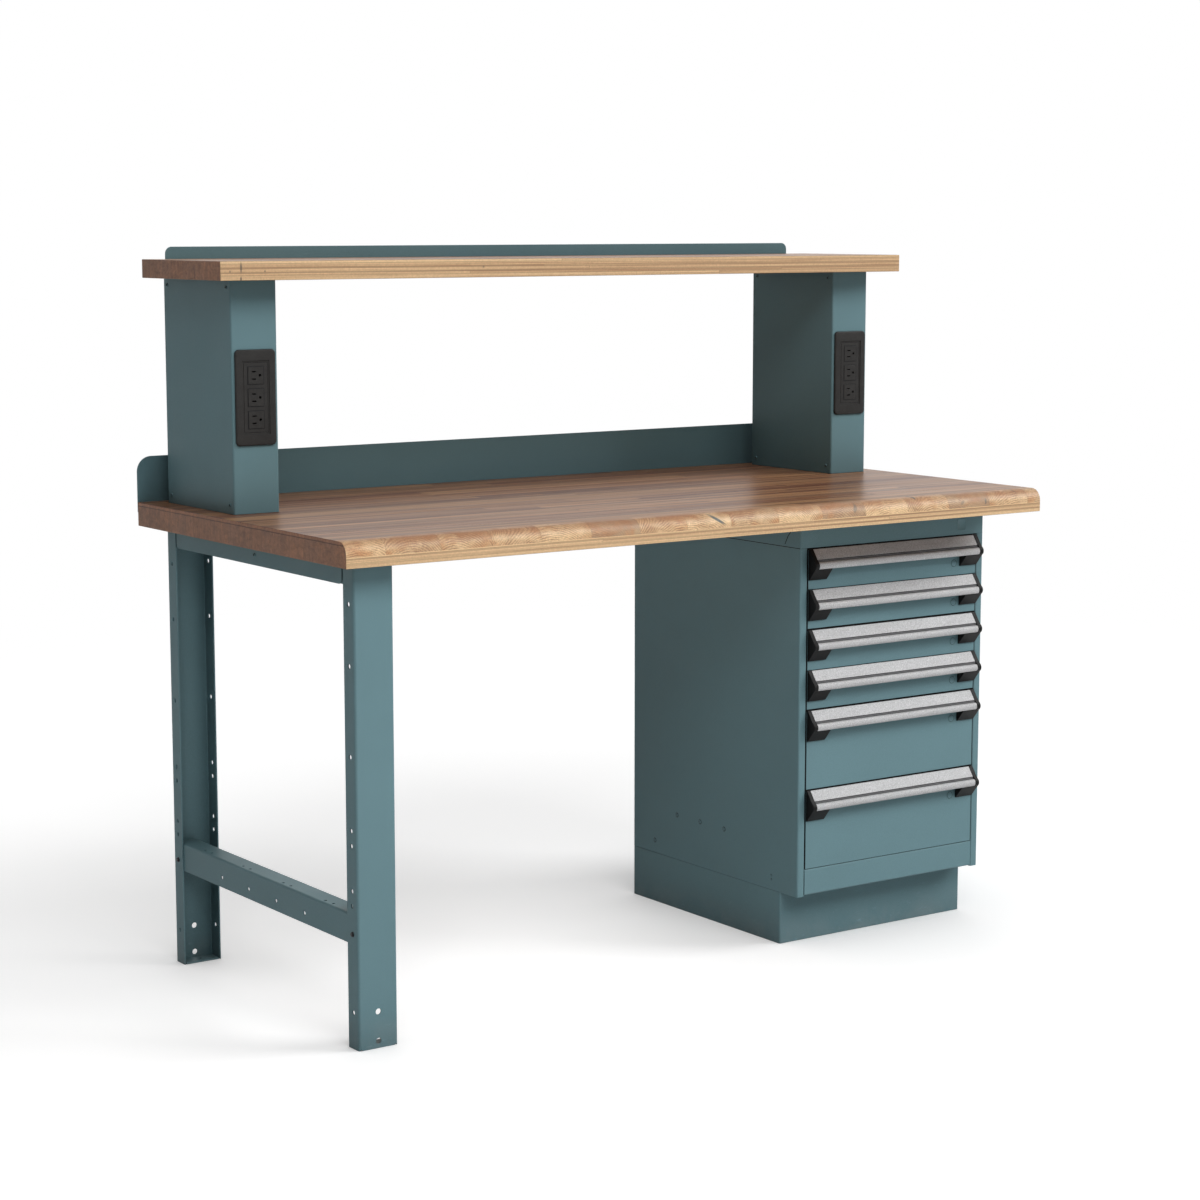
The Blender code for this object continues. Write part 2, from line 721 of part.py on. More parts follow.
def make_slide_members(number, height, materials):
    """The left and right floating members of one drawer, which travel half as far."""
    start = CABINET_FRONT + SLIDE_START
    carrier = make_carrier(f"slide_{number}", (CABINET_MIDDLE, start, height))
    for side in ("left", "right"):
        bm = bmesh.new()
        outline = member_outline(height)
        add_prism(bm, outline, "Y", start, start + SLIDE_MEMBER_LENGTH)
        if side == "left":
            mirrored(bm, CABINET_MIDDLE)
        place(f"slide_{number}_member_{side}", bm, materials["steel"], carrier)


def make_drawer_tray(number, bottom, top, bottom_gap, carrier, material):
    """Front panel, tray and slide channels of one drawer, welded into one body."""
    front_half = OPENING_HALF - DRAWER_SIDE_GAP
    panel_low = bottom + bottom_gap
    panel_top = top - DRAWER_TOP_GAP
    panel_back = CABINET_FRONT + DRAWER_FRONT_DEPTH
    tray_back = panel_back + DRAWER_TRAY_DEPTH
    tray_low = bottom + DRAWER_TRAY_LIFT
    tray_top = top - DRAWER_WALL_DROP
    t = DRAWER_SHEET
    x0 = CABINET_MIDDLE - front_half
    x1 = CABINET_MIDDLE + front_half

    bm = bmesh.new()
    add_box(bm, (x0, CABINET_FRONT, panel_low), (x1, panel_back, panel_top))
    pocket = bmesh.new()
    low = (x0 + t, CABINET_FRONT + t, panel_low + t)
    add_box(pocket, low, (x1 - t, panel_back + t, panel_top - t))
    bm = cut(bm, pocket)

    tray = bmesh.new()
    half = TRAY_HALF
    low = (CABINET_MIDDLE - half, CABINET_FRONT + t / 2, tray_low)
    add_box(tray, low, (CABINET_MIDDLE + half, tray_back, tray_top))
    well = bmesh.new()
    half -= t
    low = (CABINET_MIDDLE - half, panel_back, tray_low + t)
    add_box(well, low, (CABINET_MIDDLE + half, tray_back - t, tray_top + t))
    relief = (CABINET_MIDDLE - half, CABINET_FRONT + t, tray_low - t)
    add_box(well, relief, (CABINET_MIDDLE + half, panel_back - t, tray_top + t))
    bm = join(bm, cut(tray, well))

    height = bottom + SLIDE_HEIGHT_IN_MODULE
    runners = bmesh.new()
    ends = (panel_back, tray_back - DRAWER_SHEET)
    for side in (-1, 1):
        mouth = CABINET_MIDDLE + side * DRAWER_MOUTH
        web = CABINET_MIDDLE + side * (TRAY_HALF - SLIDE_SHEET / 2)
        add_prism(runners, channel_outline(mouth, web, height), "Y", *ends)
    place(f"drawer_{number}_tray", join(bm, runners), material, carrier)


def pull_sections():
    """(reach, drop) outlines of the pull, of its end cap and of the cap's lug."""
    shoulder = PULL_NOSE_REACH - PULL_NOSE_ROUND
    nose_back = PULL_NOSE_REACH - PULL_NOSE_THICKNESS
    nose_half = (PULL_NOSE_DROP - PULL_GROOVE_DROP) / 2
    nose_middle = PULL_GROOVE_DROP + nose_half
    slope_reach = PULL_SLOPE_REACH - PULL_CREST
    slope_drop = PULL_SLOPE_DROP - PULL_TOP_DROP
    wall_reach = PULL_WALL * math.hypot(slope_reach, slope_drop) / slope_drop
    groove_floor = PULL_SLOPE_REACH - PULL_GROOVE_DEPTH
    plate_face = FIT + PULL_WALL
    web_back = groove_floor - PULL_WALL

    def nose(extra, start, end):
        points = arc((0, 0), 1, math.radians(start), math.radians(end), 8)
        reach = PULL_NOSE_ROUND + extra
        drop = nose_half + extra
        return [(shoulder + reach * c, nose_middle + drop * s) for c, s in points]

    def underside(reach):
        return PULL_TOP_DROP + (reach + wall_reach - PULL_CREST) * slope_drop / slope_reach

    pull = [
        (FIT, PULL_TOP_DROP),
        (PULL_CREST, PULL_TOP_DROP),
        (PULL_SLOPE_REACH, PULL_SLOPE_DROP),
        (groove_floor, PULL_SLOPE_DROP + PULL_GROOVE_LEAD),
        (groove_floor, PULL_GROOVE_DROP),
    ]
    pull += nose(0, -90, 90)
    pull += [
        (nose_back + PULL_WALL / 3, PULL_NOSE_DROP - PULL_WALL / 4),
        (nose_back, PULL_NOSE_DROP - PULL_WALL),
        (nose_back, PULL_GROOVE_DROP + PULL_WALL),
        (web_back, PULL_GROOVE_DROP + PULL_WALL),
        (web_back, underside(web_back)),
        (plate_face, underside(plate_face)),
        (plate_face, PULL_PLATE_DROP),
        (FIT, PULL_PLATE_DROP),
    ]

    rim = PULL_CAP_RIM
    lug_front = PULL_NOSE_REACH - PULL_LUG_SETBACK
    heel = [
        (lug_front, PULL_NOSE_DROP + rim),
        (PULL_LUG_TOE, PULL_LUG_DROP),
        (FIT, PULL_LUG_DROP),
    ]
    cap = [
        (FIT, PULL_TOP_DROP - rim),
        (PULL_CREST + rim / 2, PULL_TOP_DROP - rim),
        (PULL_SLOPE_REACH + rim, PULL_SLOPE_DROP - rim / 2),
    ]
    cap += nose(rim, -60, 70) + heel
    lug = [(FIT, PULL_NOSE_DROP + FIT), (lug_front, PULL_NOSE_DROP + FIT)] + heel
    return pull, cap, lug


def make_drawer_pull(number, top, carrier, materials):
    """The extruded pull and its two end caps, each cap with a lug below the pull."""
    pull, cap, lug = [
        [(CABINET_FRONT - reach, top - drop) for reach, drop in outline]
        for outline in pull_sections()
    ]
    end = OPENING_HALF - DRAWER_SIDE_GAP
    bm = bmesh.new()
    half = end - PULL_CAP_WIDTH - FIT
    add_prism(bm, pull, "X", CABINET_MIDDLE - half, CABINET_MIDDLE + half)
    place(f"drawer_{number}_pull", bm, materials["aluminium"], carrier)
    for side in ("left", "right"):
        bm = bmesh.new()
        far = CABINET_MIDDLE + end
        add_prism(bm, cap, "X", far - PULL_CAP_WIDTH, far)
        foot = bmesh.new()
        add_prism(foot, lug, "X", far - PULL_LUG_WIDTH, far)
        bm = join(bm, foot)
        if side == "left":
            mirrored(bm, CABINET_MIDDLE)
        place(f"drawer_{number}_cap_{side}", bm, materials["plastic"], carrier)


def make_drawers(materials):
    for index, (bottom, top) in enumerate(drawer_spans()):
        number = index + 1
        gap = DRAWER_BOTTOM_GAPS[index]
        carrier = make_carrier(f"drawer_{number}", (CABINET_MIDDLE, CABINET_FRONT, bottom))
        make_drawer_tray(number, bottom, top, gap, carrier, materials["paint"])
        make_drawer_pull(number, top, carrier, materials)
        make_slide_members(number, bottom + SLIDE_HEIGHT_IN_MODULE, materials)


# ---------------------------------------------------------------- riser


def make_column(name, centre, material):
    """A folded column, open at the back between two lips, with a plate at each end."""
    x0 = centre - COLUMN_WIDTH / 2
    x1 = centre + COLUMN_WIDTH / 2
    path = [
        (x0 + COLUMN_REAR_LIP, COLUMN_BACK),
        (x0, COLUMN_BACK),
        (x0, COLUMN_FRONT),
        (x1, COLUMN_FRONT),
        (x1, COLUMN_BACK),
        (x1 - COLUMN_REAR_LIP, COLUMN_BACK),
    ]
    bm = bmesh.new()
    outline = bent_sheet(path, COLUMN_SHEET, COLUMN_BEND, 4)
    add_prism(bm, outline, "Z", COLUMN_FOOT, COLUMN_TOP)
    plates = bmesh.new()
    inset = COLUMN_SHEET / 2
    bounds = (x0 + inset, COLUMN_FRONT + inset, x1 - inset, COLUMN_BACK - inset)
    outline = rounded_rectangle(*bounds, [COLUMN_BEND + inset] * 4, 4)
    add_prism(plates, outline, "Z", COLUMN_FOOT, COLUMN_FOOT + COLUMN_END_PLATE)
    add_prism(plates, outline, "Z", COLUMN_TOP - COLUMN_END_PLATE, COLUMN_TOP)
    bm = join(bm, plates)
    window = bmesh.new()
    half_width = BLOCK_WIDTH / 2 + FIT
    half_height = BLOCK_HEIGHT / 2 + FIT
    low = (centre - half_width, COLUMN_FRONT - COLUMN_SHEET, OUTLET_HEIGHT - half_height)
    high = (centre + half_width, COLUMN_FRONT + 2 * COLUMN_SHEET, OUTLET_HEIGHT + half_height)
    add_box(window, low, high)
    place(name, cut(bm, window), material)


def make_column_cover(name, centre, material):
    """Flat cover behind a column, with a blanked cable gland near its foot."""
    half = COLUMN_WIDTH / 2 - COVER_MARGIN
    front = COLUMN_BACK + FIT
    bm = bmesh.new()
    low = (centre - half, front, COLUMN_FOOT + COVER_MARGIN)
    add_box(bm, low, (centre + half, front + COVER_SHEET, COLUMN_TOP - COVER_MARGIN))
    gland = bmesh.new()
    place_of_gland = (centre, COLUMN_FOOT + GLAND_HEIGHT)
    span = (front + COVER_SHEET / 2, front + COVER_SHEET + GLAND_REACH)
    add_rod(gland, "Y", place_of_gland, GLAND_RADIUS, *span, sides=20)
    place(name, join(bm, gland), material)


def make_riser(materials):
    for side, centre in (("left", -COLUMN_CENTRE), ("right", COLUMN_CENTRE)):
        make_column(f"riser_column_{side}", centre, materials["paint"])
        make_column_cover(f"column_cover_{side}", centre, materials["paint"])

    bm = bmesh.new()
    add_box(bm, (LEFT, SHELF_FRONT, SHELF_FLOOR), (RIGHT, SHELF_BACK, SHELF_FACE))
    place("riser_shelf", bm, materials["maple"])

    bm = bmesh.new()
    half = TOP_WIDTH / 2 - SHELF_STOP_INSET
    bounds = (-half, SHELF_FLOOR + SHELF_STOP_MARGIN, half, SHELF_FACE + SHELF_STOP_RISE)
    radii = (0, 0, SHELF_STOP_CORNER, SHELF_STOP_CORNER)
    outline = rounded_rectangle(*bounds, radii, 8)
    add_prism(bm, outline, "Y", SHELF_BACK + FIT, SHELF_BACK + FIT + STOP_SHEET)
    place("shelf_backstop", bm, materials["paint"])


# ---------------------------------------------------------------- power outlets


def make_outlet_plate(name, centre, material):
    back = COLUMN_FRONT - FIT
    half_width = PLATE_WIDTH / 2
    half_height = PLATE_HEIGHT / 2
    bounds = (
        centre - half_width,
        OUTLET_HEIGHT - half_height,
        centre + half_width,
        OUTLET_HEIGHT + half_height,
    )
    bm = bmesh.new()
    outline = rounded_rectangle(*bounds, [PLATE_CORNER] * 4, 5)
    add_prism(bm, outline, "Y", back - PLATE_THICKNESS, back)
    window = bmesh.new()
    half_width = BLOCK_WIDTH / 2 + FIT
    half_height = BLOCK_HEIGHT / 2 + FIT
    low = (centre - half_width, back - 2 * PLATE_THICKNESS, OUTLET_HEIGHT - half_height)
    high = (centre + half_width, back + PLATE_THICKNESS, OUTLET_HEIGHT + half_height)
    add_box(window, low, high)
    place(name, cut(bm, window), material)


def make_outlet_block(name, centre, material):
    """The block behind a plate: three raised sockets, each with two blades and an earth."""
    face = COLUMN_FRONT - FIT - PLATE_THICKNESS + BLOCK_SINK
    socket_face = face - SOCKET_RAISE
    half = SOCKET_SIZE / 2
    low = (centre - BLOCK_WIDTH / 2, face, OUTLET_HEIGHT - BLOCK_HEIGHT / 2)
    high = (centre + BLOCK_WIDTH / 2, face + BLOCK_DEPTH, OUTLET_HEIGHT + BLOCK_HEIGHT / 2)
    bm = bmesh.new()
    add_box(bm, low, high)
    sockets = bmesh.new()
    holes = bmesh.new()
    for i in (-1, 0, 1):
        z = OUTLET_HEIGHT + i * SOCKET_PITCH
        low = (centre - half, socket_face, z - half)
        add_box(sockets, low, (centre + half, face + SOCKET_RAISE, z + half))
        span = (socket_face - SOCKET_RAISE, socket_face + SOCKET_DEPTH)
        for blade in (-1, 1):
            x = centre - BLADE_OFFSET
            y = z + blade * BLADE_SPACING / 2
            low = (x - BLADE_LENGTH / 2, span[0], y - BLADE_WIDTH / 2)
            add_box(holes, low, (x + BLADE_LENGTH / 2, span[1], y + BLADE_WIDTH / 2))
        earth = (centre + EARTH_OFFSET, z)
        add_rod(holes, "Y", earth, EARTH_DIAMETER / 2, *span, sides=10)
    place(name, cut(join(bm, sockets), holes), material)


def make_outlets(materials):
    for side, centre in (("left", -COLUMN_CENTRE), ("right", COLUMN_CENTRE)):
        make_outlet_plate(f"outlet_plate_{side}", centre, materials["plastic"])
        make_outlet_block(f"outlet_block_{side}", centre, materials["plastic"])


def main():
    clear_scene()
    materials = make_materials()
    make_worktop(materials)
    make_leg_frame(materials)
    make_cabinet(materials)
    make_slide_rack("slide_rack_left", False, materials["steel"])
    make_slide_rack("slide_rack_right", True, materials["steel"])
    make_drawers(materials)
    make_riser(materials)
    make_outlets(materials)


main()
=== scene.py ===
"""Workbench with drawers: finishes, boards, fastenings and a plain studio for the steel and maple bench.

Each operator below dresses one group of pieces round the solids that the frame brings in. The solids
keep their places and sizes. The maple boards are laid anew from their staves and blocks inside the
same outline.
"""

import math
import random

import bmesh
import bpy
from mathutils import Matrix, Vector


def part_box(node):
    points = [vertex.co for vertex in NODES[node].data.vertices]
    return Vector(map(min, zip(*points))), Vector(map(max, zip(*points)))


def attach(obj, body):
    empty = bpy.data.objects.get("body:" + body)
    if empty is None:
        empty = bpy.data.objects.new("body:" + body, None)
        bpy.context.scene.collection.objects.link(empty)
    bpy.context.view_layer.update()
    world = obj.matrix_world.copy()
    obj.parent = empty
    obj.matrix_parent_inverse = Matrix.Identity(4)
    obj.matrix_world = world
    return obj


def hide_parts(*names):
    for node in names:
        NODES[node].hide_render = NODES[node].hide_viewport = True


bl_info = {
    "name": "Workbench with drawers",
    "version": (1, 0, 0),
    "blender": (4, 5, 0),
    "location": "3D View > Sidebar > Workbench",
    "description": "Finishes, boards, fastenings and studio for a maple and steel workbench",
    "category": "Object",
}

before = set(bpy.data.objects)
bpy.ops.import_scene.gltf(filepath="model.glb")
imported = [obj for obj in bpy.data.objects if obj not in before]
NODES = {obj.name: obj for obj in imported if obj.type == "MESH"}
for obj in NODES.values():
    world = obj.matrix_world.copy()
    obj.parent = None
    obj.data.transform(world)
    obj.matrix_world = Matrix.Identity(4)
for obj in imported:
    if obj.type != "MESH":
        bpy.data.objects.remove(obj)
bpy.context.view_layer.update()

TOP_LOW, TOP_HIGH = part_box("worktop")
SHELF_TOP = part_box("riser_shelf")[1].z
DRAWERS = sum(name.startswith("drawer_") and name.endswith("_tray") for name in NODES)


# ---------------------------------------------------------------------------- settings


def length(name, default, description):
    return bpy.props.FloatProperty(
        name=name, description=description, default=default, min=0.0, unit="LENGTH", precision=4
    )


def share(name, default, description):
    return bpy.props.FloatProperty(
        name=name, description=description, default=default, min=0.0, max=1.0, subtype="FACTOR"
    )


def colour(name, default, description):
    return bpy.props.FloatVectorProperty(
        name=name, description=description, default=default, min=0.0, max=1.0, subtype="COLOR"
    )


def power(name, default, description):
    return bpy.props.FloatProperty(
        name=name, description=description, default=default, min=0.0, unit="POWER"
    )


class BenchFinishes(bpy.types.PropertyGroup):
    paint: colour("Paint", (0.150, 0.262, 0.292), "Powder coat on all the sheet metal")
    paint_gloss: share("Paint roughness", 0.43, "How dull the powder coat is")
    edge_round: length("Edge round", 0.0007, "Radius left on every folded or trimmed metal edge")
    aluminium: colour("Aluminium", (0.525, 0.526, 0.532), "Extruded drawer pulls")
    plastic: colour("Plastic", (0.0100, 0.0100, 0.0102), "Moulded pull ends and sockets")
    # Painted shade: the grey of the strip that stands in each pull's groove for its shade.
    groove_shade: colour("Pull inlay", (0.165, 0.166, 0.170), "Strip in the groove of each pull")
    plate: colour("Outlet plate", (0.040, 0.039, 0.038), "Face plates of the outlets")
    steel: colour("Steel", (0.52, 0.53, 0.54), "Zinc plated slides, racks and screws")


class BenchTimber(bpy.types.PropertyGroup):
    edge_light: colour("Edge maple", (0.84, 0.590, 0.335), "Light tone of the blocks and layered edge")
    edge_dark: colour("Edge heartwood", (0.40, 0.215, 0.115), "Dark tone of the blocks and layered edge")
    # The upper staves are darker than the edge maple: partly the oiled top's own tone, partly painted
    # shade on the worktop's top.
    top_light: colour("Top maple", (0.550, 0.305, 0.148), "Light tone of the oiled upper staves")
    top_dark: colour("Top heartwood", (0.165, 0.076, 0.046), "Dark tone of the oiled upper staves")
    end_brown: colour("End grain", (0.34, 0.166, 0.096), "Oiled end grain at the two ends of each board")
    block_depth: length("Block depth", 0.036, "How far the nosing blocks run back from the front edge")
    layer_height: length("Layered edge", 0.0182, "Height of the layered strip below the nosing blocks")
    ring_pitch: length("Ring pitch", 0.0038, "Distance between growth rings in the blocks")
    sheen: share("Board roughness", 0.30, "How dull the oiled boards are")


class BenchHardware(bpy.types.PropertyGroup):
    screw_head: length("Screw head", 0.0064, "Diameter of the pan heads in the columns and stops")
    rivet_head: length("Rivet head", 0.0074, "Diameter of the rivets in the cabinet's sides")
    bolt_head: length("Bolt head", 0.0066, "Width of the hexagon bolts at the stretcher")
    mark: length("Punch mark", 0.0160, "Diameter of the blank lock mark pressed in each drawer front")
    mark_drop: length("Mark drop", 0.0514, "Distance from a drawer's top to its lock mark")
    mark_inset: length("Mark inset", 0.0558, "Distance from a drawer's right side to its lock mark")


class BenchStudio(bpy.types.PropertyGroup):
    key_power: power("Key light", 4700.0, "Power of the wide soft lamp on the right")
    front_power: power("Front light", 2300.0, "Power of the soft lamp in front")
    left_power: power("Left light", 1800.0, "Power of the soft lamp on the left")
    back_power: power("Back light", 820.0, "Power of the weak soft lamp behind on the right")
    card_power: power("Floor card", 15.0, "Power of the soft card on the floor in front")
    reach: length("Lamp distance", 30.0, "Distance from the lamps to the middle of the bench")
    sky: share("Sky", 0.0, "Strength of the even white surround on the bench")
    bounce: share("Floor bounce", 0.85, "Share of light that the floor gives back to the bench")


SETTINGS = {
    "bench_finishes": BenchFinishes,
    "bench_timber": BenchTimber,
    "bench_hardware": BenchHardware,
    "bench_studio": BenchStudio,
}


# ---------------------------------------------------------------------------- material tools


def wire(tree, kind, inputs=None, out=0, **settings):
    """Adds a shader node, sets its properties and sockets, and returns its output socket."""
    node = tree.nodes.new("ShaderNode" + kind)
    for name, value in settings.items():
        setattr(node, name, value)
    for socket, value in (inputs or {}).items():
        if isinstance(value, bpy.types.NodeSocket):
            tree.links.new(value, node.inputs[socket])
        else:
            node.inputs[socket].default_value = value
    return node.outputs[out]


def fold(tree, operation, first, *more):
    """Works one math operation through values or sockets, from the first to the last."""
    for value in more:
        first = wire(tree, "Math", {0: first, 1: value}, operation=operation)
    return first


def sum_of(tree, *values):
    return fold(tree, "ADD", *values)


def less(tree, *values):
    return fold(tree, "SUBTRACT", *values)


def product(tree, *values):
    return fold(tree, "MULTIPLY", *values)


def least_of(tree, *values):
    return fold(tree, "MINIMUM", *values)


def most_of(tree, *values):
    return fold(tree, "MAXIMUM", *values)


def height_of(tree, place):
    return wire(tree, "SeparateXYZ", {0: place}, 2)


def noise(tree, place, scale, detail=2.0, roughness=0.5, distortion=0.0):
    """Grey noise about 0.5. A triple as scale stretches it along the axes."""
    if isinstance(scale, tuple):
        place = wire(tree, "Mapping", {"Vector": place, "Scale": scale})
        scale = 1.0
    inputs = {
        "Vector": place,
        "Scale": scale,
        "Detail": detail,
        "Roughness": roughness,
        "Distortion": distortion,
    }
    return wire(tree, "TexNoise", inputs)


def spread(tree, value, low, high, to_low=0.0, to_high=1.0):
    """Maps low..high of a value to to_low..to_high, with both ends held."""
    inputs = {"Value": value, "From Min": low, "From Max": high, "To Min": to_low, "To Max": to_high}
    return wire(tree, "MapRange", inputs, clamp=True)


def swell(tree, value, low, high):
    """Turns noise about 0.5 into a factor that runs from low to high."""
    return spread(tree, value, 0.3, 0.7, low, high)


def blend(tree, factor, first, second, mode="MIX"):
    """Mixes two colours, given as triples or sockets."""
    inputs = {0: factor}
    for socket, value in ((6, first), (7, second)):
        inputs[socket] = value if isinstance(value, bpy.types.NodeSocket) else (*value, 1.0)
    return wire(tree, "Mix", inputs, 2, data_type="RGBA", blend_type=mode)


def tint(tree, base, factor):
    """A colour made darker or lighter by a grey factor about 1."""
    grey = wire(tree, "CombineColor", {0: factor, 1: factor, 2: factor})
    return blend(tree, 1.0, base, grey, "MULTIPLY")


def painted_shade(tree, distance, least):
    """Painted shade: 1 in the open, falling to the least share deep in a corner or groove, so that a
    colour multiplied by it is darker where shade falls.
    """
    near = wire(tree, "AmbientOcclusion", {"Distance": distance}, 1, samples=6)
    return spread(tree, near, 0.05, 0.85, least, 1.0)


def new_finish(name, **sockets):
    """A material with one principled shader. Returns material, tree, shader and place."""
    material = bpy.data.materials.new(name)
    material.use_nodes = True
    tree = material.node_tree
    shader = tree.nodes["Principled BSDF"]
    for socket, value in sockets.items():
        shader.inputs[socket.replace("_", " ")].default_value = value
    place = tree.nodes.new("ShaderNodeTexCoord").outputs["Object"]
    return material, tree, shader, place


def finish_with(tree, shader, base, roughness, height, distance, strength=1.0):
    """Links colour, roughness and a bump height in metres to the principled shader."""
    tree.links.new(base, shader.inputs["Base Color"])
    tree.links.new(roughness, shader.inputs["Roughness"])
    bump = wire(tree, "Bump", {"Height": height, "Distance": distance, "Strength": strength})
    tree.links.new(bump, shader.inputs["Normal"])


# ---------------------------------------------------------------------------- metal and plastic finishes


def powder_coat(finishes):
    """Grey-teal powder coat: drift of tone, fine fleck, orange peel, painted shade in corners and under
    overhangs, and scuffs close to the floor.
    """
    material, tree, shader, place = new_finish("powder_coat", Specular_IOR_Level=0.16)
    base = tuple(finishes.paint)
    drift = swell(tree, noise(tree, place, 2.6, 3.0), 0.965, 1.035)
    fleck = swell(tree, noise(tree, place, 820.0, 2.0, 0.65), 0.93, 1.07)
    handled = noise(tree, place, 9.0, 6.0, 0.68, 0.4)
    tone = product(tree, drift, fleck, spread(tree, handled, 0.35, 0.75, 0.985, 1.02))
    # Painted shade: the paint is darkened where corners and overhangs within 12 cm shelter it.
    paint = tint(tree, base, product(tree, tone, painted_shade(tree, 0.12, 0.35)))
    height = height_of(tree, place)
    low = spread(tree, height, 0.0, 0.14, 1.0, 0.0)
    rubbed = spread(tree, noise(tree, place, (38.0, 38.0, 95.0), 6.0, 0.7), 0.60, 0.74)
    scuff = product(tree, low, product(tree, rubbed, 0.35))
    paint = blend(tree, scuff, paint, tuple(min(1.0, c * 1.45 + 0.05) for c in base))
    dust = product(tree, spread(tree, height, 0.0, 0.06, 0.22, 0.0), spread(tree, handled, 0.42, 0.68))
    paint = blend(tree, dust, paint, (0.36, 0.35, 0.33))
    rough = swell(tree, handled, finishes.paint_gloss - 0.04, finishes.paint_gloss + 0.06)
    peel = noise(tree, place, 520.0, 2.0, 0.55)
    pits = noise(tree, place, 1500.0, 1.0)
    relief = sum_of(tree, product(tree, peel, 0.8), product(tree, pits, 0.3))
    finish_with(tree, shader, paint, rough, relief, 0.00006)
    return material


def extruded_aluminium(finishes):
    """Bead-blasted, clear anodised aluminium with faint draw lines along the pull, a speckle, and
    painted shade in its groove.
    """
    sheen = {"Metallic": 0.15, "Specular_IOR_Level": 0.25}
    material, tree, shader, place = new_finish("extruded_aluminium", **sheen)
    lines = noise(tree, place, (9.0, 900.0, 900.0), 4.0, 0.6)
    speck = noise(tree, place, 460.0, 2.0, 0.9)
    cloud = noise(tree, place, (14.0, 60.0, 60.0), 3.0)
    tone = product(tree, swell(tree, lines, 0.95, 1.04), swell(tree, speck, 0.66, 1.24))
    # Painted shade: darker in the pull's groove and other recesses.
    tone = product(tree, tone, swell(tree, cloud, 0.97, 1.03), painted_shade(tree, 0.006, 0.12))
    base = tint(tree, tuple(finishes.aluminium), tone)
    rough = spread(tree, sum_of(tree, lines, speck), 0.7, 1.3, 0.56, 0.68)
    relief = sum_of(tree, product(tree, lines, 0.5), product(tree, speck, 0.7))
    finish_with(tree, shader, base, rough, relief, 0.00005)
    return material


def moulded_plastic(name, base, roughness):
    """Moulded plastic with a spark-eroded grain, faint rub marks, and painted shade in its recesses."""
    material, tree, shader, place = new_finish(name, Specular_IOR_Level=0.10)
    grain = noise(tree, place, 1400.0, 2.0, 0.6)
    rub = noise(tree, place, 45.0, 5.0, 0.7, 0.6)
    worn = spread(tree, rub, 0.35, 0.7, 0.92, 1.14)
    # Painted shade: the plastic is darker in its recesses.
    tone = product(tree, swell(tree, grain, 0.86, 1.16), worn, painted_shade(tree, 0.008, 0.25))
    rough = spread(tree, rub, 0.35, 0.7, roughness - 0.06, roughness + 0.08)
    finish_with(tree, shader, tint(tree, tuple(base), tone), rough, grain, 0.00005)
    return material


def zinc_plate(finishes):
    """Zinc plated steel: soft spangle, rolling lines front to back, and a little dull bloom."""
    material, tree, shader, place = new_finish("zinc_plate", Metallic=1.0)
    spangle = wire(tree, "TexVoronoi", {"Vector": place, "Scale": 210.0}, 1)
    patch = wire(tree, "SeparateColor", {0: spangle})
    lines = noise(tree, place, (700.0, 16.0, 700.0), 4.0, 0.6)
    bloom = noise(tree, place, 26.0, 5.0, 0.65)
    tone = product(tree, spread(tree, patch, 0.0, 1.0, 0.93, 1.05), swell(tree, lines, 0.9, 1.08))
    base = tint(tree, tuple(finishes.steel), tone)
    base = blend(tree, spread(tree, bloom, 0.55, 0.8, 0.0, 0.5), base, (0.60, 0.61, 0.62))
    rough = spread(tree, sum_of(tree, bloom, patch), 0.4, 1.6, 0.28, 0.50)
    finish_with(tree, shader, base, rough, lines, 0.00004)
    return material


def black_oxide():
    """Blackened steel fastenings, rubbed grey in patches."""
    material, tree, shader, place = new_finish("black_oxide", Metallic=1.0)
    rub = noise(tree, place, 320.0, 4.0, 0.7)
    base = blend(tree, spread(tree, rub, 0.55, 0.75), (0.030, 0.031, 0.033), (0.16, 0.16, 0.165))
    finish_with(tree, shader, base, swell(tree, rub, 0.30, 0.45), rub, 0.00003)
    return material


def gap_shade_strip():
    """Painted shade for the gaps round the drawers: a black strip, dusty grey in patches."""
    material, tree, shader, place = new_finish("gap_shade_strip", Specular_IOR_Level=0.1)
    grain = noise(tree, place, 500.0, 4.0, 0.6)
    dust = spread(tree, noise(tree, place, 30.0, 4.0, 0.6), 0.5, 0.8, 0.0, 0.3)
    base = blend(tree, dust, (0.007, 0.007, 0.0075), (0.020, 0.020, 0.020))
    finish_with(tree, shader, base, swell(tree, grain, 0.6, 0.8), grain, 0.00006)
    return material


def dark_recess():
    """The unlit bottom of a slot, seam or drive recess."""
    material, tree, shader, place = new_finish("dark_recess", Specular_IOR_Level=0.2)
    grain = noise(tree, place, 900.0, 3.0, 0.6)
    base = tint(tree, (0.010, 0.011, 0.012), swell(tree, grain, 0.7, 1.3))
    finish_with(tree, shader, base, swell(tree, grain, 0.5, 0.7), grain, 0.00004)
    return material


# ---------------------------------------------------------------------------- maple finishes


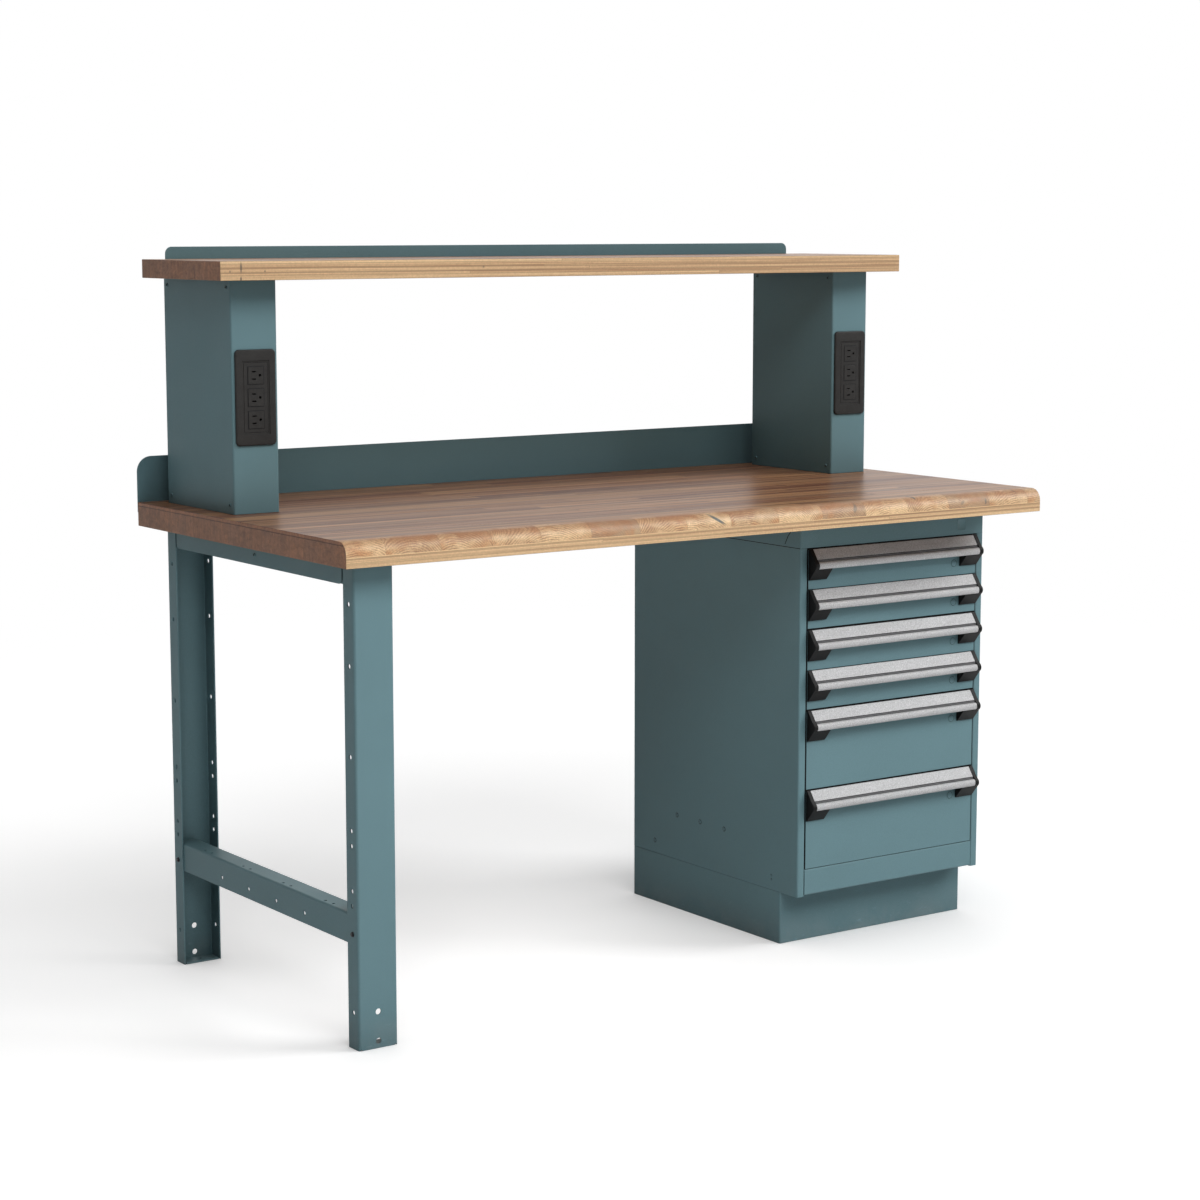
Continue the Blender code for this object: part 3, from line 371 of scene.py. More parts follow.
def stave_finish(name, specular):
    """A finish that follows the staves. Returns its material, tree, shader and place, and for each
    stave the place along its own grain, its tone, its cast and the distance to its glue line."""
    material, tree, shader, place = new_finish(name, Specular_IOR_Level=specular)
    stave = wire(tree, "Attribute", out=0, attribute_name="stave")
    tone, cast, seed = (wire(tree, "SeparateColor", {0: stave}, i) for i in range(3))
    gap = tree.nodes.new("ShaderNodeAttribute")
    gap.attribute_name = "gap"
    sides = [wire(tree, "SeparateColor", {0: gap.outputs["Color"]}, i) for i in range(3)]
    near = least_of(tree, *sides, gap.outputs["Alpha"])
    # Each stave's grain is moved elsewhere in the noise, so that neighbours never run into each other.
    step = wire(tree, "CombineXYZ", {0: product(tree, seed, 17.0), 1: product(tree, seed, 5.3), 2: seed})
    grain = wire(tree, "VectorMath", {0: place, 1: step}, operation="ADD")
    return material, tree, shader, place, grain, tone, cast, near


def oil(tree, shader, base, figure, pores, roughness):
    """Satin oil over open grain."""
    rough = swell(tree, figure, roughness - 0.04, roughness + 0.07)
    relief = sum_of(tree, product(tree, figure, 0.5), product(tree, pores, 0.6))
    finish_with(tree, shader, base, rough, relief, 0.00010)


def seam(tree, near, least, width=0.0009):
    """Darkens the wood along its glue lines."""
    return spread(tree, near, 0.0, width, least, 1.0)


def swing(tree, value, amount, low=0.25, high=0.75):
    """Noise turned into a darkening that swings from -amount to amount."""
    return spread(tree, value, low, high, -amount, amount)


def darkness(tree, tone, *terms):
    """How dark the wood is, from the stave's own tone and the figure on it, held within 0 to 1."""
    dark = less(tree, 1.0, tone)
    for term in terms:
        dark = wire(tree, "Math", {0: dark, 1: term}, operation="ADD", use_clamp=term is terms[-1])
    return dark


def wash(tree, base, share, strength, colour, mode="MIX"):
    """Washes a colour over the base where the share is high."""
    return blend(tree, product(tree, share, strength), base, colour, mode)


def line_at(tree, value, middle, half, strength):
    """Strength where a value lies within half of the middle, fading to nothing at its sides."""
    off = less(tree, value, middle)
    off = wire(tree, "Math", {0: off}, operation="ABSOLUTE")
    return spread(tree, off, 0.35 * half, half, strength, 0.0)


def stave_maple(timber):
    """Upper staves: long figure, fine pores, dark growth lines, and a warm or grey cast per stave."""
    material, tree, shader, _, grain, tone, cast, near = stave_finish("stave_maple", 0.12)
    figure = noise(tree, grain, (1.6, 26.0, 26.0), 4.0, 0.6, 0.3)
    band = noise(tree, grain, (0.9, 60.0, 60.0), 2.0, 0.6)
    streak = noise(tree, grain, (2.5, 170.0, 170.0), 4.0, 0.6)
    pores = noise(tree, grain, (55.0, 1500.0, 1500.0), 2.0, 0.6)
    line = line_at(tree, noise(tree, grain, (0.6, 30.0, 30.0), 2.0, 0.5, 0.2), 0.5, 0.075, 0.44)
    fleck = spread(tree, noise(tree, grain, (30.0, 190.0, 190.0), 3.0, 0.7), 0.64, 0.76, 0.0, 0.16)
    terms = (swing(tree, figure, 0.30), swing(tree, band, 0.38), swing(tree, streak, 0.16), line, fleck)
    # The top tones are partly painted shade on the top.
    base = blend(tree, darkness(tree, tone, *terms), tuple(timber.top_light), tuple(timber.top_dark))
    base = wash(tree, base, cast, 0.55, (0.30, 0.185, 0.165), "SOFT_LIGHT")
    joints = seam(tree, near, 0.40, 0.0015)
    base = tint(tree, base, product(tree, swell(tree, pores, 0.94, 1.05), joints))
    oil(tree, shader, base, streak, pores, timber.sheen)
    return material


# Mineral streaks on the boards' fronts: x and z of the middle, lean, half width, half height, strength.
STREAKS = (
    (-0.0140, 0.8450, -1.50, 0.0050, 0.0085, 1.00),
    (0.3020, 0.8460, 0.45, 0.0040, 0.0080, 0.55),
    (0.6212, 0.8400, 0.15, 0.0026, 0.0055, 0.75),
    (0.5626, 0.8405, 0.80, 0.0040, 0.0035, 0.45),
    (0.4529, 0.8555, 0.00, 0.0034, 0.0030, 0.85),
    (0.7027, 0.8537, -0.80, 0.0022, 0.0040, 0.55),
    (-0.7226, 1.2842, 0.00, 0.0019, 0.0085, 0.95),
    (-0.7230, 1.2650, 0.00, 0.0019, 0.0040, 0.95),
    (-0.7437, 1.2779, 0.00, 0.0014, 0.0022, 0.75),
    (-0.6768, 1.2779, 0.00, 0.0017, 0.0020, 0.75),
    (-0.2325, 1.2814, 0.00, 0.0020, 0.0020, 0.65),
)


def mineral(tree, place, wobble):
    """The share of blue-grey mineral stain at a place on a board's front."""
    x_axis, z_axis = (wire(tree, "SeparateXYZ", {0: place}, i) for i in (0, 2))
    stain = wire(tree, "Value")
    for x, z, lean, width, height, strength in STREAKS:
        up = less(tree, z_axis, z)
        along = wire(tree, "Math", {0: up, 1: -lean, 2: x_axis}, operation="MULTIPLY_ADD")
        sides = (product(tree, less(tree, along, x), 1.0 / width), product(tree, up, 1.0 / height))
        squares = (product(tree, side, side) for side in sides)
        spot = spread(tree, sum_of(tree, *squares, wobble), 0.3, 1.7, strength, 0.0)
        stain = most_of(tree, stain, spot)
    return stain


def growth_rings(tree, grain, pitch):
    """Rings round each block's own pith, bent by noise and broken where the cut runs across them."""
    pith = wire(tree, "Attribute", out=1, attribute_name="pith")
    bend = wire(tree, "TexNoise", {"Vector": grain, "Scale": 30.0, "Detail": 3.0}, 1)
    bend = wire(tree, "VectorMath", {0: bend, 1: (0.5, 0.5, 0.5)}, operation="SUBTRACT")
    bend = wire(tree, "VectorMath", {0: bend, 3: 0.010}, operation="SCALE")
    bent = wire(tree, "VectorMath", {0: pith, 1: bend}, operation="ADD")
    bent = wire(tree, "VectorMath", {0: bent, 1: (1.0, 0.0, 1.0)}, operation="MULTIPLY")
    reach = wire(tree, "VectorMath", {0: bent}, 1, operation="LENGTH")
    turn = product(tree, reach, 2.0 * math.pi / pitch)
    ring = spread(tree, wire(tree, "Math", {0: turn}, operation="SINE"), -0.5, 1.0)
    return product(tree, ring, spread(tree, noise(tree, grain, 50.0, 4.0, 0.6), 0.36, 0.58, 0.15, 1.0))


def block_maple(timber):
    """Nosing blocks: growth rings, curly figure, mineral streaks, and warmer patches along the crown."""
    material, tree, shader, place, grain, tone, cast, near = stave_finish("block_maple", 0.36)
    cloud = noise(tree, grain, (22.0, 22.0, 50.0), 4.0, 0.6, 0.5)
    pores = noise(tree, grain, 430.0, 4.0, 0.75)
    rings = product(tree, growth_rings(tree, grain, timber.ring_pitch), 0.76)
    dark = darkness(tree, tone, swing(tree, cloud, 0.50), rings)
    base = blend(tree, dark, tuple(timber.edge_light), tuple(timber.edge_dark))
    base = wash(tree, base, cast, 0.55, (0.38, 0.265, 0.175))
    warm = spread(tree, noise(tree, grain, (17.0, 17.0, 30.0), 3.0, 0.6, 0.6), 0.50, 0.72)
    base = wash(tree, base, warm, 0.72, (0.50, 0.215, 0.085))
    crown = spread(tree, height_of(tree, place), TOP_HIGH.z - 0.014, TOP_HIGH.z - 0.003)
    patch = spread(tree, noise(tree, grain, (14.0, 14.0, 14.0), 3.0, 0.6), 0.36, 0.60, 0.15, 0.75)
    base = wash(tree, base, crown, patch, (0.40, 0.175, 0.080))
    base = blend(tree, mineral(tree, place, swing(tree, cloud, 0.5)), base, (0.110, 0.120, 0.105))
    base = tint(tree, base, product(tree, swell(tree, pores, 0.72, 1.26), seam(tree, near, 0.80)))
    oil(tree, shader, base, cloud, pores, timber.sheen + 0.12)
    return material


def layered_maple(timber):
    """Long edges: level lamination lines, close and uneven, and a pale line below the nosing, a painted
    highlight.
    """
    material, tree, shader, place, grain, tone, _, near = stave_finish("layered_maple", 0.36)
    broad = noise(tree, grain, (0.9, 60.0, 330.0), 3.0, 0.6, 0.25)
    fine = noise(tree, grain, (3.0, 90.0, 700.0), 4.0, 0.65)
    line = line_at(tree, noise(tree, grain, (0.6, 60.0, 380.0), 2.0, 0.5, 0.2), 0.5, 0.045, 0.36)
    saw = noise(tree, grain, (300.0, 60.0, 260.0), 3.0, 0.75)
    height = height_of(tree, place)
    joint = TOP_LOW.z + timber.layer_height
    glue = line_at(tree, height, joint - 0.0026, 0.0010, 0.28)
    # Painted highlight: a pale line along the front just below the nosing.
    pale = line_at(tree, height, joint - 0.0009, 0.0010, -0.35)
    dark = darkness(tree, tone, swing(tree, broad, 0.38), swing(tree, fine, 0.28), line, glue, pale)
    base = blend(tree, dark, tuple(timber.edge_light), tuple(timber.edge_dark))
    base = blend(tree, mineral(tree, place, swing(tree, fine, 0.5)), base, (0.20, 0.150, 0.105))
    base = tint(tree, base, product(tree, swell(tree, saw, 0.86, 1.10), seam(tree, near, 0.66)))
    oil(tree, shader, base, fine, saw, timber.sheen + 0.14)
    return material


def end_maple(timber):
    """Ends of the boards: oiled dark, mottled upright, with warm burls, specks and one glue line."""
    material, tree, shader, place, grain, tone, cast, near = stave_finish("end_maple", 0.30)
    streak = noise(tree, grain, (40.0, 150.0, 30.0), 5.0, 0.68, 0.6)
    mottle = noise(tree, grain, (30.0, 42.0, 70.0), 5.0, 0.68, 1.2)
    speck = noise(tree, grain, (60.0, 190.0, 150.0), 3.0, 0.7, 0.5)
    pores = noise(tree, grain, 620.0, 3.0, 0.65)
    height = height_of(tree, place)
    joint = TOP_HIGH.z - 0.0062
    wave = swing(tree, noise(tree, place, (30.0, 30.0, 0.0), 2.0), 0.0004)
    glue = less(tree, 1.0, line_at(tree, sum_of(tree, height, wave), joint, 0.0015, 0.62))
    factor = product(
        tree,
        spread(tree, streak, 0.28, 0.72, 0.68, 1.26),
        spread(tree, mottle, 0.32, 0.68, 0.66, 1.26),
        product(tree, spread(tree, speck, 0.62, 0.72, 1.0, 0.50), glue),
        swell(tree, pores, 0.86, 1.10),
        spread(tree, tone, 0.0, 1.0, 0.78, 1.14),
    )
    base = wash(tree, tuple(timber.end_brown), cast, 0.5, (0.26, 0.145, 0.100))
    burl = spread(tree, noise(tree, grain, (25.0, 60.0, 60.0), 4.0, 0.7, 0.8), 0.52, 0.70)
    base = wash(tree, base, burl, 0.60, (0.47, 0.215, 0.105))
    above = spread(tree, height, joint, joint + 0.0006)
    cap = product(tree, above, spread(tree, height, TOP_HIGH.z + 0.01, TOP_HIGH.z + 0.02, 1.0, 0.0))
    base = wash(tree, base, cap, 0.45, (0.46, 0.200, 0.110))
    base = tint(tree, base, product(tree, factor, seam(tree, near, 0.75)))
    oil(tree, shader, base, streak, pores, timber.sheen + 0.2)
    return material


# ---------------------------------------------------------------------------- the finishes by name


FINISHES = {
    "powder_coat": lambda scene: powder_coat(scene.bench_finishes),
    "extruded_aluminium": lambda scene: extruded_aluminium(scene.bench_finishes),
    "black_plastic": lambda scene: moulded_plastic("black_plastic", scene.bench_finishes.plastic, 0.44),
    "outlet_plate": lambda scene: moulded_plastic("outlet_plate", scene.bench_finishes.plate, 0.40),
    "pull_groove_shade": lambda scene: moulded_plastic("pull_groove_shade", scene.bench_finishes.groove_shade, 0.6),
    "zinc_plate": lambda scene: zinc_plate(scene.bench_finishes),
    "black_oxide": lambda scene: black_oxide(),
    "gap_shade_strip": lambda scene: gap_shade_strip(),
    "dark_recess": lambda scene: dark_recess(),
    "stave_maple": lambda scene: stave_maple(scene.bench_timber),
    "block_maple": lambda scene: block_maple(scene.bench_timber),
    "layered_maple": lambda scene: layered_maple(scene.bench_timber),
    "end_maple": lambda scene: end_maple(scene.bench_timber),
}


PAINTED_ONLY = ["powder_coat"]
# The second finish here, dark_recess, is painted shade in screw drives, rivet countersinks and parting
# rings.
PAINTED_AND_DARK = ["powder_coat", "dark_recess"]


def finish(name):
    """The material of that name, made once from the scene's settings."""
    return bpy.data.materials.get(name) or FINISHES[name](bpy.context.scene)


# ---------------------------------------------------------------------------- mesh tools

# Where two faces turn by more degrees than this, their edge is shaded sharp, or rounded.
SHARP = 35.0


def link_piece(name, mesh, finishes, body):
    """Puts a mesh in the scene as a piece that rides on a CAD body."""
    for material in map(finish, finishes):
        mesh.materials.append(material)
    piece = bpy.data.objects.new(name, mesh)
    bpy.context.scene.collection.objects.link(piece)
    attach(piece, body)
    return piece


def piece_from(name, build, finishes, body, sharp=SHARP):
    """Makes a piece from a bmesh, smooth shaded with sharp edges above the angle."""
    mesh = bpy.data.meshes.new(name)
    bmesh.ops.recalc_face_normals(build, faces=build.faces)
    build.to_mesh(mesh)
    build.free()
    mesh.shade_smooth()
    mesh.set_sharp_from_angle(angle=math.radians(sharp))
    return link_piece(name, mesh, finishes, body)


def add_box(build, low, high, material=0):
    """Adds a plain bar between two corners."""
    place = Matrix.Translation((Vector(low) + Vector(high)) / 2.0)
    size = Matrix.Diagonal((*(Vector(high) - Vector(low)), 1.0))
    made = bmesh.ops.create_cube(build, size=1.0, matrix=place @ size)
    for face in {f for vert in made["verts"] for f in vert.link_faces}:
        face.material_index = material


def soften(piece, width, segments=2):
    """Rounds the edges of a piece by a hair, so that they catch light as bent and trimmed stock does."""
    bevel = piece.modifiers.new("Edge round", "BEVEL")
    bevel.width = width
    bevel.segments = segments
    bevel.limit_method = "ANGLE"
    bevel.angle_limit = math.radians(SHARP)
    bevel.use_clamp_overlap = True
    bevel.harden_normals = False
    normals = piece.modifiers.new("Flat faces", "WEIGHTED_NORMAL")
    normals.mode = "FACE_AREA"
    normals.weight = 100
    normals.keep_sharp = False


def dress(node, finish_name, width, segments=2):
    """Gives a CAD solid its finish and its edge round. Its vertices stay as they are."""
    solid = NODES[node]
    mesh = solid.data
    for name in ("custom_normal", "sharp_edge", "sharp_face"):
        old = mesh.attributes.get(name)
        if old is not None:
            mesh.attributes.remove(old)
    mesh.shade_smooth()
    for i in range(len(mesh.materials)):
        mesh.materials[i] = finish(finish_name)
    weld = solid.modifiers.new("Join triangles", "WELD")
    weld.merge_threshold = 0.00001
    planar = solid.modifiers.new("Flat panels", "DECIMATE")
    planar.decimate_type = "DISSOLVE"
    planar.angle_limit = math.radians(0.5)
    soften(solid, width, segments)


def lathe(build, profile, place, turns=24, lobes=None, material=0):
    """Turns a profile of (radius, height) about the z axis of place. Lobes bend each ring's outline."""
    rings = []
    for i, (radius, height) in enumerate(profile):
        ring = []
        for k in range(turns):
            angle = 2.0 * math.pi * k / turns
            reach = radius * (lobes(i, angle) if lobes else 1.0)
            point = Vector((reach * math.cos(angle), reach * math.sin(angle), height))
            ring.append(build.verts.new(place @ point))
        rings.append(ring)
    for lower, upper in zip(rings, rings[1:]):
        for k in range(turns):
            n = (k + 1) % turns
            build.faces.new((lower[k], lower[n], upper[n], upper[k])).material_index = material
    for ring in (rings[0], rings[-1]):
        build.faces.new(ring).material_index = material
    return rings


def rounded_ring(centre, width, height, radius, y, steps=8):
    """Points of a rounded rectangle in the x-z plane at depth y."""
    points = []
    for k, (sx, sz) in enumerate(((1, 1), (-1, 1), (-1, -1), (1, -1))):
        cx = centre.x + sx * (width / 2.0 - radius)
        cz = centre.z + sz * (height / 2.0 - radius)
        for i in range(steps + 1):
            a = 0.5 * math.pi * (k + i / steps)
            points.append((cx + radius * math.cos(a), y, cz + radius * math.sin(a)))
    return points


def loft(build, rings, close=False):
    """Joins rings of points with quads, and closes the last ring to the first if asked."""
    loops = [[build.verts.new(p) for p in ring] for ring in rings]
    pairs = list(zip(loops, loops[1:])) + ([(loops[-1], loops[0])] if close else [])
    for lower, upper in pairs:
        for k in range(len(lower)):
            n = (k + 1) % len(lower)
            build.faces.new((lower[k], lower[n], upper[n], upper[k]))
    return loops


def facing(point, direction):
    """A place at the point whose z axis looks along the direction."""
    turn = Vector(direction).to_track_quat("Z", "Y").to_matrix().to_4x4()
    return Matrix.Translation(point) @ turn


def pan_screw(build, place, head):
    """A pan head with a six-lobe drive, whose walls and bottom take the second finish, painted shade."""
    r = head / 2.0
    profile = [(r, -0.0003), (r, 0.10 * head), (0.94 * r, 0.17 * head), (0.78 * r, 0.235 * head)]
    profile += [(0.66 * r, 0.255 * head), (0.56 * r, 0.25 * head), (0.52 * r, 0.08 * head)]

    def lobes(i, angle):
        return 1.0 + 0.16 * math.cos(6.0 * angle) if i >= 5 else 1.0

    rings = lathe(build, profile, place, 24, lobes)
    # Painted shade: the drive's walls and bottom take the second finish.
    for face in {f for vert in rings[-1] for f in vert.link_faces}:
        face.material_index = 1


def dome_rivet(build, place, head):
    """A low rivet in a countersink, with a ring round its mandrel; countersink and ring are painted
    shade.
    """
    r = head / 2.0
    sink = [(1.30 * r, -0.0003), (1.30 * r, 0.00008), (1.0 * r, 0.00010), (0.9 * r, 0.00005)]
    lathe(build, sink, place, 20, material=1)
    dome = [(0.94 * r, -0.0003), (0.94 * r, 0.05 * head)]
    dome += [(0.88 * r, 0.11 * head), (0.68 * r, 0.165 * head)]
    lathe(build, dome, place, 20)
    mandrel = [(0.46 * r, 0.10 * head), (0.46 * r, 0.172 * head), (0.34 * r, 0.165 * head)]
    lathe(build, mandrel, place, 16, material=1)
    lathe(build, [(0.30 * r, 0.10 * head), (0.28 * r, 0.19 * head), (0.12 * r, 0.20 * head)], place, 16)


def hex_bolt(build, place, head):
    """A hexagon head with a chamfered top on a flanged washer."""
    r = head / 2.0
    washer = [(1.42 * r, -0.0003), (1.42 * r, 0.10 * r), (1.30 * r, 0.22 * r), (0.90 * r, 0.24 * r)]
    lathe(build, washer, place, 24)

    def lobes(i, angle):
        if i >= 2:
            return 1.0
        within = (angle + math.pi / 6.0) % (math.pi / 3.0) - math.pi / 6.0
        return 1.0 / math.cos(within)

    head_shape = [(r, 0.20 * r), (r, 0.72 * r), (0.97 * r, 0.88 * r), (0.86 * r, 0.92 * r)]
    lathe(build, head_shape, place, 24, lobes)


# ---------------------------------------------------------------------------- boards


BOARD_FINISHES = ("stave_maple", "block_maple", "layered_maple", "end_maple")
STAVE, BLOCK, LAYER, END = range(4)
# Keys that set the draws of the back edge's and the rows' staves apart from those of the layers.
BACK_KEY = 20
ROW_KEY = 30
# A glue line this far off is none at all, and two heights or depths this near are one.
FAR = 9.0
NEAR = 1e-5
# Each row of upper staves: how far its front edge is from the board's, in inches as the mill cuts them,
# then its staves as (start along the board in inches, tone 0 dark to 1 light, pink cast 0 to 1).
INCH = 0.0254
TOP_ROWS = (
    (1.42, ((0, 0.84, 0.2), (38, 0.78, 0.1))),
    (3.6, ((0, 0.60, 0.8), (47, 0.66, 0.6))),
    (5.45, ((0, 0.66, 0.6), (34, 0.72, 0.3), (52, 0.60, 0.6))),
    (7.4, ((0, 0.72, 0.4), (23, 0.74, 0.5), (49, 0.64, 0.4))),
    (9.8, ((0, 0.26, 0.8), (21.7, 0.56, 0.5), (44, 0.52, 0.5))),
    (11.2, ((0, 0.62, 0.4), (18, 0.60, 0.5), (31, 0.30, 1.0))),
    (12.6, ((0, 0.57, 0.6), (26, 0.60, 0.5), (46, 0.62, 0.6))),
    (14.5, ((0, 0.68, 0.2), (37, 0.66, 0.3))),
    (16.0, ((0, 0.62, 0.1), (29, 0.64, 0.3), (51, 0.58, 0.4))),
    (17.6, ((0, 0.34, 0.7), (27, 0.42, 0.6))),
    (18.6, ((0, 0.62, 0.4), (22, 0.56, 0.5), (48, 0.60, 0.3))),
    (21.2, ((0, 0.34, 0.7), (20, 0.16, 1.0), (49, 0.24, 0.5))),
    (22.3, ((0, 0.36, 0.7), (20, 0.66, 0.1), (44, 0.62, 0.2))),
    (24.7, ((0, 0.46, 0.3), (33, 0.50, 0.2))),
    (26.4, ((0, 0.66, 0.0), (28, 0.22, 0.5))),
    (28.2, ((0, 0.48, 0.2), (24, 0.30, 0.5), (41, 0.40, 0.3))),
)
SHELF_ROWS = (
    (0.0, ((0, 0.70, 0.3), (19.7, 0.62, 0.4), (43, 0.72, 0.2))),
    (1.9, ((0, 0.56, 0.6), (27, 0.70, 0.3), (50, 0.60, 0.5))),
    (3.7, ((0, 0.64, 0.2), (14, 0.38, 0.8), (36, 0.66, 0.4))),
    (5.6, ((0, 0.72, 0.4), (31, 0.58, 0.3))),
    (7.4, ((0, 0.48, 0.5), (22, 0.68, 0.1), (47, 0.52, 0.6))),
    (9.6, ((0, 0.62, 0.3), (25, 0.30, 0.6), (39, 0.60, 0.3))),
)
# The nosing blocks: start along the board in inches, tone and grey cast.
NOSING = (
    (0.0, 0.96, 0.0), (2.9, 0.66, 0.3), (7.0, 0.72, 0.2), (10.9, 0.80, 0.2),
    (14.8, 0.86, 0.1), (18.8, 0.50, 1.0), (22.8, 0.74, 0.1), (26.8, 0.96, 0.1),
    (30.6, 0.74, 0.4), (34.8, 0.88, 0.1), (38.8, 0.58, 0.8), (42.8, 0.98, 0.0),
    (46.8, 0.82, 0.1), (50.8, 0.56, 0.8), (54.8, 0.78, 0.2), (58.7, 0.70, 0.3),
)  # fmt: skip
# Layered strips on the long edges: height of each strip's foot as a share of the edge, and its staves.
SHELF_LAYERS = (
    (0.00, ((0, 0.70), (42, 0.62))),
    (0.22, ((0, 0.74), (19.7, 0.70), (48, 0.62))),
    (0.36, ((0, 0.44), (30, 0.50))),
    (0.41, ((0, 0.72), (30, 0.62))),
    (0.60, ((0, 0.46), (26, 0.60))),
    (0.65, ((0, 0.70), (19.7, 0.62))),
    (0.86, ((0, 1.00), (27.6, 0.84))),
)
TOP_LAYERS = (
    (0.00, ((0, 0.80), (36, 0.74))),
    (0.34, ((0, 0.78), (30, 0.52))),
    (0.46, ((0, 0.84), (19.7, 0.74), (45, 0.70))),
    (0.78, ((0, 0.62), (19.7, 0.80), (38, 0.62))),
    (0.90, ((0, 0.92), (27.6, 0.70))),
)


class Board:
    """A maple board, built stave by stave inside the outline of its CAD node."""

    def __init__(self, name, node, rows, layers, layer_top, block_depth):
        self.name, self.rows, self.layers = name, rows, layers
        self.layer_top, self.block_depth = layer_top, block_depth
        self.low, self.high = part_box(node)
        tops = [v.co.y for v in NODES[node].data.vertices if v.co.z > self.high.z - NEAR]
        self.nose = min(tops) - self.low.y
        self.fronts = [self.low.y + row[0] * INCH for row in rows]
        self.row_edges = [y for y in self.fronts if y > self.low.y + self.nose]
        self.build = bmesh.new()
        self.stave = self.build.loops.layers.float_color.new("stave")
        self.gap = self.build.loops.layers.float_color.new("gap")
        self.piths = {}

    def stave_at(self, staves, x):
        """The start, end and facts of the stave of a row that lies at x."""
        starts = [self.low.x + stave[0] * INCH for stave in staves] + [self.high.x]
        for i, stave in enumerate(staves):
            if x < starts[i + 1]:
                return starts[i], starts[i + 1], stave[1:]
        raise ValueError(f"no stave at {x}")

    def stations(self):
        """Where along the board a stave of any row starts, and the board's two ends."""
        places = {self.low.x, self.high.x}
        for row in self.rows + self.layers + (((0.0, NOSING),) if self.block_depth else ()):
            places |= {self.low.x + stave[0] * INCH for stave in row[1]}
        return sorted(places)

    def outline(self):
        """(y, z) points round the end: up the front, over the nose, back on top, and forward below."""
        low, high, nose = self.low, self.high, self.nose
        points = [(low.y, low.z + layer[0] * (self.layer_top - low.z)) for layer in self.layers]
        if self.layer_top < high.z - NEAR:
            points.append((low.y, self.layer_top))
        steps = 14 if nose > 0.0 else 0
        for k in range(steps + 1):
            a = 0.5 * math.pi * k / max(steps, 1)
            points.append((low.y + nose * (1.0 - math.cos(a)), high.z - nose * (1.0 - math.sin(a))))
        points += [(y, high.z) for y in self.row_edges] + [(high.y, high.z), (high.y, low.z)]
        return points + [(y, low.z) for y in reversed(self.row_edges)]

    def facts_at(self, x, y, z):
        """Kind, limits (x0, x1, y0, y1), tone, cast and key of the stave whose face is at x, y, z."""
        low, high = self.low, self.high
        if abs(y - high.y) < NEAR:
            x0, x1, (tone,) = self.stave_at(self.layers[-1][1], x)
            return LAYER, (x0, x1, -FAR, FAR), tone, 0.0, BACK_KEY
        if abs(y - low.y) < NEAR and z < self.layer_top:
            rise = self.layer_top - low.z
            feet = [layer[0] for layer in self.layers] + [FAR]
            i = max(k for k in range(len(self.layers)) if feet[k] <= (z - low.z) / rise)
            x0, x1, (tone,) = self.stave_at(self.layers[i][1], x)
            return LAYER, (x0, x1, low.z + feet[i] * rise, low.z + feet[i + 1] * rise), tone, 0.0, i
        if y < low.y + self.block_depth and z > low.z + NEAR:
            x0, x1, (tone, cast) = self.stave_at(NOSING, x)
            return BLOCK, (x0, x1, -FAR, low.y + self.block_depth), tone, cast, 0
        fronts = self.fronts + [high.y]
        i = max(k for k in range(len(self.rows)) if fronts[k] <= max(y, fronts[0]))
        x0, x1, (tone, cast) = self.stave_at(self.rows[i][1], x)
        return STAVE, (x0, x1, fronts[i], fronts[i + 1]), tone, cast, ROW_KEY + i

    def mark(self, face, kind, limits, tone, cast, key):
        """Gives a face its finish and pith, and its loops the tone, cast, seed and glue lines."""
        x0, x1, y0, y1 = limits
        seed = random.Random(f"{self.name} {kind} {key} {x0:.3f}").random()
        depth = 0.012 + 0.07 * ((seed * 7.0) % 1.0)
        self.piths[face] = (x0 + (1.5 * seed - 0.25) * (x1 - x0), self.low.z - depth)
        face.material_index = kind
        for loop in face.loops:
            x, y, z = loop.vert.co
            across = z if kind == LAYER else y
            loop[self.stave] = (tone, cast, seed, 1.0)
            loop[self.gap] = (x - x0, x1 - x, across - y0, y1 - across)

    def cap(self, ring, x):
        """Closes an end of the board with a face for the nosing and one for each row behind it."""
        low, high = self.low, self.high
        at = {(round(v.co.y, 6), round(v.co.z, 6)): v for v in ring}
        cuts = self.row_edges + [high.y]
        nosing = [v for v in ring if v.co.y < cuts[0] - 1e-6]
        nosing += [at[round(cuts[0], 6), round(z, 6)] for z in (low.z, high.z)]
        middle_y = sum(v.co.y for v in nosing) / len(nosing)
        middle_z = sum(v.co.z for v in nosing) / len(nosing)
        nosing.sort(key=lambda v: math.atan2(v.co.z - middle_z, v.co.y - middle_y))
        faces = [(nosing, low.y, cuts[0])]
        for y0, y1 in zip(cuts, cuts[1:]):
            corners = ((y0, low.z), (y1, low.z), (y1, high.z), (y0, high.z))
            faces.append(([at[round(y, 6), round(z, 6)] for y, z in corners], y0, y1))
        for i, (verts, y0, y1) in enumerate(faces):
            tone = random.Random(f"{self.name} end {i}").uniform(0.25, 0.8)
            limits = (x - FAR, x + FAR, y0, y1)
            self.mark(self.build.faces.new(verts), END, limits, tone, (i * 0.37) % 1.0, i)

